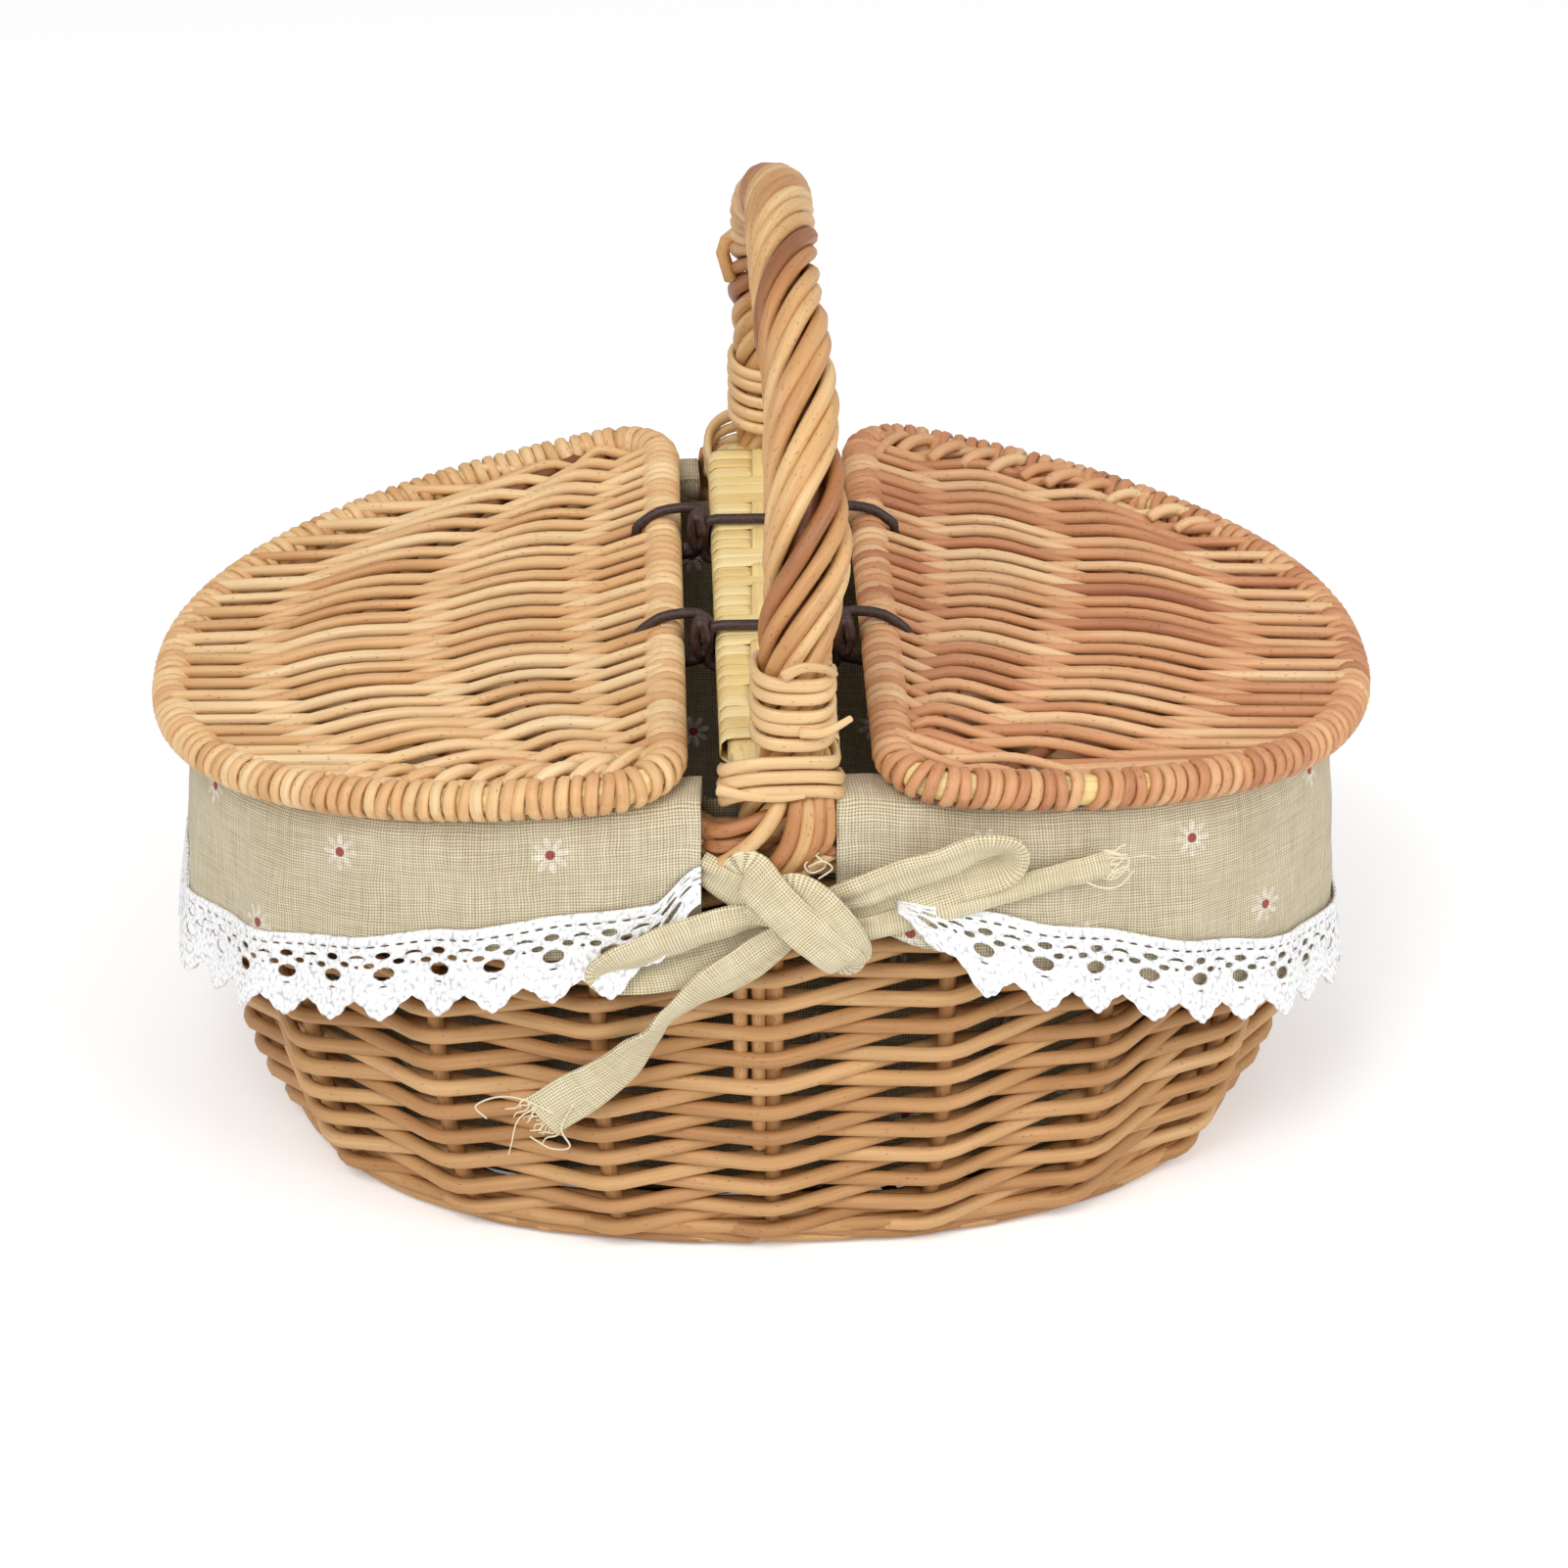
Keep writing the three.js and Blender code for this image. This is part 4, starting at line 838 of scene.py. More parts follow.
def bar_core_rods():
    """Rods inside the bar, whose ends show between its last wrap and the handle."""
    for k in range(4):
        x = BAR_CENTRE + (k - 1.5) * 8 * MM
        y = np.linspace(-108 * MM, 108 * MM, 20)
        yield Rod(xyz(x, y, BAR_MIDDLE), 3.4 * MM, 0.3 + 0.15 * k)
    for side in (-1, 1):
        y = side * np.linspace(98 * MM, 124 * MM, 16)
        droop = np.linspace(0, 1, 16) ** 2
        x = mix(BAR_CENTRE - 9 * MM, BAR_CENTRE - 7 * MM, droop)
        z = BAR_TOP - 2.6 * MM - 7 * MM * droop
        normals = np.tile([0.0, 0, 1], (16, 1))
        width = mix(6.5 * MM, 3.8 * MM, droop)
        yield Rod(xyz(x, y, z), width, 0.1, normals, 0.22)


# Thongs

def loop_points(corners, y, count=48):
    """A smooth closed loop through corners given as x and z, at one y."""
    x, z = evenly(corners, count, closed=True)[0].T
    for _ in range(2):
        x = (np.roll(x, 1) + 2 * x + np.roll(x, -1)) / 4
        z = (np.roll(z, 1) + 2 * z + np.roll(z, -1)) / 4
    return xyz(x, y, z)


def bar_thong_rods(y):
    out = THONG_RADIUS + 0.3 * MM
    half = BAR_HALF_WIDTH + out
    high, low = BAR_TOP + out, BAR_BOTTOM - out
    corners = [(BAR_CENTRE + x, z) for x, z in (
        (-half, low), (-half, high - 1 * MM), (-half + 1.5 * MM, high), (half - 1.5 * MM, high),
        (half, high - 1 * MM), (half, low))]
    yield Rod(loop_points(corners, y), THONG_RADIUS, closed=True)
    for way in (-1, 1):
        x = BAR_CENTRE + way * (half + 2.2 * MM)
        turns = np.linspace(0, 2.2 * TURN, 60)
        points = xyz(x + 1.5 * MM * np.cos(turns), y - 3.4 * MM + 6.8 * MM * turns / turns[-1],
                     BAR_TOP - 1.8 * MM + 6 * MM * np.sin(turns))
        yield Rod(points, 1.6 * MM)


# Lids

LID_ANGLE = math.atan(LID_SLOPE)
EDGE_ROD_PITCH = 8.4 * MM
# Where short cut rods start and end along each lid's border, in mm from the middle
EDGE_RODS = {"left": (50, 128), "right": (52, 150)}
# How far a row lies over or under the border, and how far its end fans outward
EDGE_HEIGHT = 4.3 * MM
ROW_FAN = 0.055
# Where wraps are left out of the right lid's front border
BARE_MIDDLE = 50 * MM
BARE_REACH = 26 * MM
BARE_SHARE = 0.3


class Lid:
    """One lid in its own flat coordinates: x outward from its inner edge, z up."""

    def __init__(self, label):
        self.label = label
        self.side = -1 if label == "left" else 1
        self.ribs = [(at * MM, bow * MM, lean * MM) for at, bow, lean in RIBS[label]]
        self.rng = np.random.default_rng(SEEDS[label])
        shrink = math.cos(LID_ANGLE)
        inner = LID_INNER_EDGE + self.side * BAR_CENTRE + BORDER_RADIUS * shrink
        corner_x = inner + LID_CORNER * shrink
        corner_y = self.edge_width(corner_x)
        half = []
        for a in np.linspace(0, math.pi / 2, 8, endpoint=False):
            half.append((corner_x - (corner_x - inner) * math.cos(a),
                         corner_y - LID_CORNER * (1 - math.sin(a))))
        t0 = math.acos((corner_x / LID_HALF_LENGTH) ** (LID_POWER / 2))
        for t in np.linspace(t0, 0, 60):
            half.append((LID_HALF_LENGTH * math.cos(t) ** (2 / LID_POWER),
                         LID_HALF_WIDTH * math.sin(t) ** (2 / LID_POWER)))
        half = [(self.reach(x), y) for x, y in half]
        self.outline = np.array([(x, -y) for x, y in half]
                                + [(x, y) for x, y in half[-2::-1]])
        self.inner_x = self.reach(inner)
        self.straight = corner_y - LID_CORNER

    def reach(self, distance):
        return (distance - self.side * BAR_CENTRE - LID_INNER_EDGE) / math.cos(LID_ANGLE)

    def rib_x(self, rib, y):
        """Where a rib, bowed and leaning, crosses the line at y."""
        at, bow, lean = rib
        share = y / RIB_BOW_WIDTH
        return self.reach(at - bow * share ** 2 + lean * share)

    def edge_width(self, distance):
        share = min(1.0, distance / LID_HALF_LENGTH)
        return LID_HALF_WIDTH * (1 - share ** LID_POWER) ** (1 / LID_POWER)

    def place(self, points):
        """From the lid's own coordinates to the hamper's."""
        points = np.asarray(points, float)
        x = points[..., 0] * math.cos(LID_ANGLE) + points[..., 2] * math.sin(LID_ANGLE)
        z = points[..., 2] * math.cos(LID_ANGLE) - points[..., 0] * math.sin(LID_ANGLE)
        middle = BAR_CENTRE + self.side * LID_INNER_EDGE
        return xyz(middle + self.side * x, self.side * points[..., 1], LID_PLANE + z)

    def turn(self, directions):
        """From the lid's own directions to the hamper's."""
        origin = self.place(np.zeros(3))
        return self.place(directions) - origin

    def border_line(self, count):
        """The border's centre line at even spacing, with its tangents and outward normals."""
        points, _ = evenly(self.outline, count, closed=True)
        tangent = unit(np.roll(points, -1, 0) - np.roll(points, 1, 0))
        outward = np.stack([tangent[:, 1], -tangent[:, 0]], -1)
        return points, tangent, outward

    def half_outline(self):
        half = self.outline[:len(self.outline) // 2 + 1]
        return half[:, 0], np.abs(half[:, 1])

    def x_limits(self, y):
        """Where a row at y meets the border's centre line, inside and outside."""
        xs, ys = self.half_outline()
        top = int(np.argmax(ys))
        low = float(np.interp(abs(y), ys[:top + 1], xs[:top + 1]))
        high = float(np.interp(-abs(y), -ys[top:], xs[top:]))
        return low, high

    def edge_at(self, x):
        """How far out the border's centre line is at x."""
        return np.interp(x, *self.half_outline())

    def rows(self, settings):
        """Each row's place, radius and tint."""
        rng = np.random.default_rng(SEEDS[self.label] + 1)
        reach_y = LID_HALF_WIDTH - 5 * MM
        count = int(2 * reach_y / settings.lid_row_pitch)
        places = (np.arange(count) + 0.5) * 2 * reach_y / count - reach_y
        radii = settings.lid_weaver_diameter / 2 * rng.uniform(0.84, 1.1, count)
        return places, radii, 0.15 + 0.65 * rng.uniform(0, 1, count) ** 1.1

    def weavers(self, settings):
        """Rows that pass over and under the ribs and end on the border."""
        rng = self.rng
        front = -self.side
        for row, (y0, radius, tint) in enumerate(zip(*self.rows(settings))):
            if y0 * front > LID_HALF_WIDTH - 10 * MM:
                continue
            low, high = self.x_limits(y0)
            xs = [self.rib_x(rib, y0) for rib in self.ribs]
            xs = [x for x in xs if low + 9 * MM < x < high - 7 * MM]
            xs = np.array([low, *xs, high])
            over = 1 - 2 * ((np.arange(len(xs)) + row) % 2)
            z = over * np.array([EDGE_HEIGHT, *[WEAVE_HEIGHT] * (len(xs) - 2), EDGE_HEIGHT])
            outer = smooth(0.55, 1, (xs - low) / (high - low))
            fan = 1 + ROW_FAN * (y0 / LID_HALF_WIDTH) ** 2 * outer
            edge = self.edge_at(xs) - 2 * MM
            y = np.clip(y0 * fan + rng.normal(0, 0.3 * MM, len(xs)), -edge, edge)
            points = kneed(xyz(xs, y, z), 0.13, 0.08)
            taper = np.linspace(*sorted(rng.uniform(0.88, 1.08, 2), reverse=bool(row % 2)),
                                len(points))
            yield Rod(self.place(points), radius * taper, tint)
        yield from self.edge_rods()

    def edge_rods(self):
        """Short cut rods that slant from the border over the first rows."""
        rng = self.rng
        first, last = (self.reach(v * MM) for v in EDGE_RODS[self.label])
        for x0 in np.linspace(first, last, int((last - first) / EDGE_ROD_PITCH)):
            share = np.linspace(0, 1, 7)
            x = x0 - (share * 12 + rng.normal(0, 0.8)) * MM
            y = self.edge_at(x) - mix(2, 14 + rng.normal(0, 1), share) * MM
            z = np.interp(share, [0, 0.35, 0.75, 1], [3.2, 5.0, 4.6, 2.4]) * MM
            yield Rod(self.place(xyz(x, y, z)), rng.uniform(1.7, 2.3) * MM,
                      rng.uniform(0.0, 0.6))

    def wraps(self, settings):
        """Splits wound round the border, and the rows turned over its straight edge."""
        rng = self.rng
        pitch = settings.border_wrap_pitch
        count = int(run_along(np.vstack([self.outline, self.outline[:1]]))[-1] / pitch)
        points, tangent, outward = self.border_line(count)
        straight = (points[:, 0] < self.inner_x + 0.1 * MM) & (np.abs(points[:, 1]) < self.straight)
        front = -self.side * points[:, 1] > 0.86 * LID_HALF_WIDTH
        bare = front & (rng.random(count) < BARE_SHARE) & (self.side > 0)
        bare = bare & (np.abs(points[:, 0] - BARE_MIDDLE) < BARE_REACH)
        bare = bare & (np.arange(count) % 2 == 0)
        turns = [(points[k], tangent[k], outward[k], pitch * rng.uniform(0.44, 0.52),
                  0.3 + 0.5 * rng.uniform(0, 1), rng.normal(0.9, 0.5) * MM)
                 for k in np.flatnonzero(~straight & ~bare)]
        for y0, _, tint in zip(*self.rows(settings)):
            if abs(y0) < self.straight:
                turns.append((np.array([self.inner_x, y0]), np.array([0.0, 1]),
                              np.array([-1.0, 0]), 2.3 * MM, tint, -2.2 * self.side * MM))
        sweep = np.linspace(0, TURN, 16, endpoint=False)
        for centre, along, out, width, tint, lean in turns:
            thick = rng.uniform(1.0, 1.35) * MM
            radius = BORDER_RADIUS - thick - 0.1 * MM
            slide = lean * np.sin(sweep + rng.uniform(-0.3, 0.3)) + rng.normal(0, 0.15) * MM
            n = xyz(out[0] * np.cos(sweep), out[1] * np.cos(sweep), np.sin(sweep))
            ring = np.array([*centre, 0]) + n * radius + slide[:, None] * np.array([*along, 0])
            yield Rod(self.place(ring), width, tint, self.turn(n), thick / width,
                      closed=True)

    def frame_rods(self):
        """The hoop inside the border."""
        points, _, _ = self.border_line(110)
        return [Rod(self.place(xyz(*points.T, 0)), 4.6 * MM, 0.2, closed=True)]

    def rib_rods(self):
        """The ribs that the rows are woven on, between the border's two sides."""
        for rib in self.ribs:
            y = np.linspace(-LID_HALF_WIDTH, LID_HALF_WIDTH, 81)
            x = np.array([self.rib_x(rib, v) for v in y])
            keep = []
            for xv, yv in zip(x, y):
                if abs(yv) > LID_HALF_WIDTH - 6 * MM:
                    continue
                low, high = self.x_limits(yv)
                if low + 4 * MM < xv < high - 4 * MM:
                    keep.append((xv, yv, 0))
            yield Rod(self.place(np.array(keep)[::3]), RIB_RADIUS, 0.6)

    def thong_rod(self, y):
        """A thong that passes over the border and down into the weave."""
        sweep = np.linspace(0, TURN, 48, endpoint=False)
        c, sn = np.cos(sweep), np.sin(sweep)
        x = 3.2 * MM + 11.6 * MM * signed_power(c, THONG_POWER)
        z = (BORDER_RADIUS + 1.9 * MM) * signed_power(sn, THONG_POWER)
        z = z * (1 - 0.3 * smooth(4 * MM, 14 * MM, x) * (sn > 0))
        return Rod(self.place(xyz(x, y, z)), THONG_RADIUS, closed=True)


# Liner, skirts, lace and ties

CLOTH_THICKNESS = 0.9 * MM
TIE_THICKNESS = 1.7 * MM
LACE_THICKNESS = 0.9 * MM
FOLD_LENGTH = 42 * MM
FOLD_DEPTH = 2 * MM
SCALLOP = 17 * MM
LACE_VALLEY = 20 * MM
LACE_TIP = 26 * MM
LACE_GROUND = 16.8 * MM
LACE_COLUMN = 0.6 * MM
# How much of the lace is hidden under the bow, and where it is narrower beside it
LACE_HIDDEN = 18 * MM
LACE_NARROW = (12 * MM, 46 * MM)
# The bag's floor, and how far inside the wall's outer face its wall and its floor's edge are
BAG_FLOOR = 10.4 * MM
BAG_WALL_OFFSET = -17.6 * MM
BAG_FLOOR_OFFSET = -19.5 * MM
# The skirts' drop under the lids' plane, down to the lace's sewn edge
DROP_AT_SLIT = 39 * MM
DROP_AT_LEFT_END = 83 * MM
DROP_AT_RIGHT_END = 97 * MM
DROP_CURVE = 1.4
# How far the cloth hangs behind the lace, and how far the bow pulls it up
CLOTH_BEHIND_LACE = 14 * MM
TIED_LIFT = 6 * MM
# Where each skirt starts beside the handle, at the front and at the back
SKIRT_EDGES = {-1: (-21.2 * MM, -18.5 * MM), 1: (18.5 * MM, 21.2 * MM)}


def skirt_foot(x):
    """The height of the lace's sewn edge."""
    away = np.abs(x - BAR_CENTRE)
    share = np.clip((away - SLIT_HALF_WIDTH) / (RIM_HALF_LENGTH - SLIT_HALF_WIDTH), 0, 1)
    end = np.where(x < BAR_CENTRE, DROP_AT_LEFT_END, DROP_AT_RIGHT_END)
    return LID_PLANE - mix(DROP_AT_SLIT, end, share ** DROP_CURVE)


def cloth_foot(x):
    """The cloth's own edge, which hangs behind the lace except at the left end."""
    pulled = TIED_LIFT * (1 - smooth(20 * MM, 50 * MM, x)) * (x > 0)
    return skirt_foot(x) - CLOTH_BEHIND_LACE * smooth(-120 * MM, -60 * MM, x) + pulled


def skirt_lengths(side, count):
    """Lengths along the rim from a skirt's front edge round the end to its back edge."""
    front_x, back_x = SKIRT_EDGES[side]
    front = length_at_angle(angle_at_x(front_x, -1))
    back = length_at_angle(angle_at_x(back_x, 1))
    if side < 0:
        front, back = front - PERIMETER, back - PERIMETER
    return np.linspace(front, back, count)


def ripples(u, v, rng, count, low, high, lean):
    """Soft random folds across a sheet, from -1 to 1."""
    total = np.zeros(np.broadcast(u, v).shape)
    for _ in range(count):
        a = rng.normal(0, lean)
        wave = rng.uniform(low, high)
        total += np.cos(TURN * (u * math.cos(a) + v * math.sin(a)) / wave + rng.uniform(0, TURN))
    return total / math.sqrt(count) / 1.4


def hang_offset(x, run, share):
    """How far hanging cloth stands off the wall, run along the rim from the slit."""
    flare = mix(1 * MM, 4.5 * MM, (np.abs(x) / RIM_HALF_LENGTH) ** 2) * share
    fold = FOLD_DEPTH * share * 0.5 * (1 - np.cos(TURN * run / FOLD_LENGTH))
    return 1.5 * MM + flare + fold


def cloth_wrinkle(side, run, drop):
    rng = np.random.default_rng(SEEDS["skirt"] + side)
    soft = ripples(run, drop, rng, 5, 34 * MM, 80 * MM, 0.55)
    fine = ripples(run, drop, rng, 5, 14 * MM, 26 * MM, 0.9)
    near_tie = np.exp(-np.minimum(run, skirt_run(side) - run) / (45 * MM))
    pull = np.cos(TURN * (drop - 0.35 * run) / (15 * MM)) * near_tie
    return 1.1 * MM * soft + 0.3 * MM * fine + 0.5 * MM * pull


def skirt_run(side):
    ends = skirt_lengths(side, 2)
    return abs(ends[1] - ends[0])


# The skirt's fold over the rim: offset from the wall and height over the rim's top, in mm
RIM_FOLD = ((-16.6, -9.0), (-16.6, -4.0), (-16.3, -1.2), (-15.0, -0.2), (-11.0, 0.0),
            (-7.0, 0.1), (-3.2, -0.1), (-0.9, -0.7), (0.6, -2.0))


def skirt_grid(side):
    """Points and cloth coordinates of a skirt, folded over the rim and hung outside it."""
    lengths = skirt_lengths(side, 236)
    run = np.abs(lengths - lengths[0])
    t = angle_at_length(lengths)
    x = x_at(t, CLOTH_MEASURED_HEIGHT)
    high = rim_high_at(x) + 1.4 * MM
    rows, cloth = [], []
    for offset, down in RIM_FOLD:
        rows.append(wall_point(t, high + down * MM, offset * MM))
        cloth.append(np.full_like(x, (offset - 0.6) * MM))
    start = high - 2.0 * MM
    for share in np.linspace(0, 1, 47)[1:]:
        z = mix(start, cloth_foot(x), share)
        drop = start - z
        ease = smooth(0, 0.3, share)
        wrinkle = cloth_wrinkle(side, run, drop) * ease
        offset = mix(0.6 * MM, hang_offset(x, run, share), smooth(0, 0.12, share)) + wrinkle
        rows.append(wall_point(t, z, np.maximum(offset, 0.7 * MM)))
        cloth.append(drop)
    uv = np.stack([np.broadcast_to(run, (len(rows), len(run))), -np.array(cloth)], -1)
    return np.array(rows), uv


def sheet_object(name, points, uv, thickness, closed=False, holes=None):
    """A sheet through a grid of points, with cloth coordinates in metres."""
    rows, columns = points.shape[:2]
    mesh = bpy.data.meshes.new(name)
    with edited(mesh) as bm:
        bmesh.ops.create_grid(bm, x_segments=columns - 1, y_segments=rows - 1, size=0.5)
    mesh.vertices.foreach_set("co", points.reshape(-1, 3).ravel())
    layer = mesh.uv_layers.new(name="cloth")
    corners = np.empty(len(mesh.loops), int)
    mesh.loops.foreach_get("vertex_index", corners)
    layer.data.foreach_set("uv", uv.reshape(-1, 2)[corners].ravel())
    with edited(mesh) as bm:
        if holes is not None:
            inside = holes.ravel()
            gone = [f for f in bm.faces if all(inside[v.index] for v in f.verts)]
            bmesh.ops.delete(bm, geom=gone, context="FACES")
        if closed:
            bmesh.ops.remove_doubles(bm, verts=bm.verts, dist=1e-6)
        bmesh.ops.recalc_face_normals(bm, faces=bm.faces)
    obj = finished_object(name, mesh)
    thick = obj.modifiers.new("thickness", "SOLIDIFY")
    thick.thickness = thickness
    thick.offset = 0
    return obj


def lace_holes(u, v):
    """How far each point is from the nearest hole's edge: negative inside a hole."""
    cell = (u + SCALLOP / 2) % SCALLOP - SCALLOP / 2
    least = np.full(u.shape, 1.0)

    def hole(x, y, half_x, half_y, bend=0.0):
        away = (cell - x + SCALLOP / 2) % SCALLOP - SCALLOP / 2
        up = v - y - bend * (away / half_x) ** 2
        return (np.hypot(away / half_x, up / half_y) - 1) * min(half_x, half_y)

    for shape in ((0, 12.3, 3.2, 2.1), (0.6, 6.5, 2.3, 1.15), (8.5, 6.2, 3.0, 0.5, 0.8),
                  (-4.2, 8.7, 1.8, 0.95), (4.6, 9.3, 1.8, 0.95), (8.5, 9.6, 0.8, 0.55),
                  (0, 16.2, 1.4, 0.32)):
        least = np.minimum(least, hole(*(value * MM for value in shape)))
    dash = (u + 2.1 * MM) % (4.25 * MM) - 2.1 * MM
    slot = (np.hypot(dash / (1.4 * MM), (v - 3.4 * MM) / (0.38 * MM)) - 1) * 0.38 * MM
    return np.minimum(least, slot)


def lace_grid(side):
    """A lace edge sewn along a skirt's foot, with its scallops, picots and holes."""
    total = skirt_run(side)
    count = int(total / LACE_COLUMN)
    lengths = skirt_lengths(side, count)
    run = np.abs(lengths - lengths[0])
    t = angle_at_length(lengths)
    x = x_at(t, CLOTH_MEASURED_HEIGHT)
    scallops = round(total / SCALLOP)
    u = run / total * scallops * SCALLOP
    cell = np.abs((u % SCALLOP) / SCALLOP - 0.5) * 2
    tip = mix(LACE_VALLEY, LACE_TIP, 0.5 + 0.5 * np.cos(math.pi * cell))
    tip = tip + 0.8 * MM * np.abs(np.cos(cell * 2.5 * math.pi))
    level = np.concatenate([np.arange(0, 16.8, 0.56) * MM, np.full(15, LACE_GROUND)])
    share = np.concatenate([np.zeros(30), np.linspace(0, 1, 15)])
    v = level[:, None] + share[:, None] * (tip - LACE_GROUND)
    u = np.broadcast_to(u, v.shape).copy()
    u += SCALLOP / 2
    for _ in range(3):
        step = 0.05 * MM
        f = lace_holes(u, v)
        fu = (lace_holes(u + step, v) - f) / step
        fv = (lace_holes(u, v + step) - f) / step
        near = (np.abs(f) < 0.3 * MM) & (v < 16.7 * MM) & (v > 0.3 * MM)
        size = np.maximum(fu * fu + fv * fv, 0.2)
        u = u - np.where(near, f * fu / size, 0) * 0.8
        v = v - np.where(near, f * fv / size, 0) * 0.8
    inside = lace_holes(u, v) < 0.02 * MM
    rng = np.random.default_rng(SEEDS["skirt"] + 5 + side)
    moved = (u - SCALLOP / 2) / (scallops * SCALLOP) * total
    lengths = lengths[0] + moved * np.sign(lengths[-1] - lengths[0])
    t = angle_at_length(lengths)
    x = x_at(t, CLOTH_MEASURED_HEIGHT)
    start = rim_high_at(x) - 0.6 * MM
    foot = skirt_foot(x)
    wrinkle = cloth_wrinkle(side, moved, start - foot)
    curl = ripples(moved, v, rng, 5, 12 * MM, 30 * MM, 0.4)
    tied = moved if side > 0 else total - moved
    turned = total - moved if side > 0 else moved
    inside = inside | (tied < LACE_HIDDEN)
    shrink = smooth(*LACE_NARROW, tied) * mix(0.5, 1, smooth(2 * MM, 24 * MM, turned))
    foot = foot + 11 * MM * (1 - smooth(0, 15 * MM, turned))
    flare = 0.16 * v + (v / LACE_TIP) ** 2 * (0.9 * MM * curl + 1.2 * MM)
    offset = hang_offset(x, moved, 1.0) + wrinkle + 0.9 * MM + flare
    points = wall_point(t, foot + 1.6 * MM - v * shrink, np.maximum(offset, 1.6 * MM))
    return points, np.stack([moved, -v], -1), inside


def bag_grid():
    """The bag's inside, from the middle of its floor up the wall and over the rim."""
    columns = 200
    u = np.linspace(0, PERIMETER, columns)
    t = angle_at_length(u)
    t[-1] = t[0]
    seed = SEEDS["skirt"] + 9
    top = rim_top_at(x_at(t, CLOTH_MEASURED_HEIGHT))
    rows, cloth = [], []
    for share in np.linspace(0.02, 0.95, 18):
        edge = wall_point(t, BAG_FLOOR, BAG_FLOOR_OFFSET)
        flat = edge[:, :2] * share
        wave = ripples(flat[:, 0], flat[:, 1], np.random.default_rng(seed), 6,
                       50 * MM, 120 * MM, 2.0)
        rows.append(np.c_[flat, BAG_FLOOR + 0.9 * MM * (1 + wave) * share])
        cloth.append(flat)
    for share in np.linspace(0, 1, 34):
        z = mix(BAG_FLOOR + 5 * MM, top, share)
        hang = math.sin(share * math.pi) ** 0.6
        wave = ripples(np.arange(columns) * PERIMETER / columns, z,
                       np.random.default_rng(seed), 7, 30 * MM, 90 * MM, 0.6)
        wave[-1] = wave[0]
        blend_in = smooth(0, 0.15, share) * smooth(0, 0.12, 1 - share)
        offset = BAG_WALL_OFFSET - 1.6 * MM * (1 + wave) * blend_in - 1.0 * MM * hang
        rows.append(wall_point(t, z, offset))
        cloth.append(np.c_[u, np.full(columns, 0.2) + z])
    return np.array(rows), np.array(cloth)


def through(points, count):
    """A smooth curve through points, at even spacing."""
    points = np.asarray(points, float)
    ends = np.vstack([2 * points[0] - points[1], points, 2 * points[-1] - points[-2]])
    fine = []
    for i in range(len(points) - 1):
        a, b, c, d = ends[i:i + 4]
        for s in np.linspace(0, 1, 24, endpoint=False):
            fine.append(0.5 * (2 * b + (c - a) * s + (2 * a - 5 * b + 4 * c - d) * s ** 2
                               + (3 * b - a - 3 * c + d) * s ** 3))
    return evenly([*fine, points[-1]], count)[0]


def front_place(way):
    """Points in front of the wall from x, height and stand-off, with their outward direction."""
    t = angle_at_x(way[:, 0], -1)
    here = wall_point(t, way[:, 1], way[:, 2])
    out = wall_point(t, way[:, 1], way[:, 2] + MM) - here
    return here, unit(out)


# How wide a tie's cloth is taken for its folds and its weave
CLOTH_STRIP = 15 * MM


def band_grid(way, widths, tilt, pleat, seed):
    """A strip of cloth along a way of x, height and stand-off in millimetres."""
    rng = np.random.default_rng(SEEDS["bow"] + seed)
    way = through(np.asarray(way, float) * MM, 90)
    here, out = front_place(way)
    along = unit(np.gradient(here, axis=0))
    side = unit(np.cross(out, along))
    face = np.cross(along, side)
    share = np.linspace(0, 1, len(way))
    length = run_along(here)
    lean = np.radians(np.interp(share, np.linspace(0, 1, len(tilt)), tilt))
    width = np.interp(share, np.linspace(0, 1, len(widths)), widths) * MM
    across = np.linspace(-0.5, 0.5, 15)
    w = side * np.cos(lean)[:, None] - face * np.sin(lean)[:, None]
    n = side * np.sin(lean)[:, None] + face * np.cos(lean)[:, None]
    pinch = 1 - smooth(0, 0.28, share)
    crease = pleat * MM * (pinch[:, None] + 0.25)
    crease = crease * np.cos(TURN * 1.5 * across + rng.uniform(0, TURN))
    crease = crease + 0.5 * MM * ripples(length[:, None], across * CLOTH_STRIP, rng, 5,
                                         9 * MM, 30 * MM, 0.8)
    edge = -1.1 * MM * (np.abs(across) * 2) ** 4
    points = (here[:, None] + w[:, None] * (width[:, None] * across)[..., None]
              + n[:, None] * (crease + edge)[..., None])
    uv = np.stack(np.broadcast_arrays(length[:, None], across * CLOTH_STRIP), -1)
    return points, uv


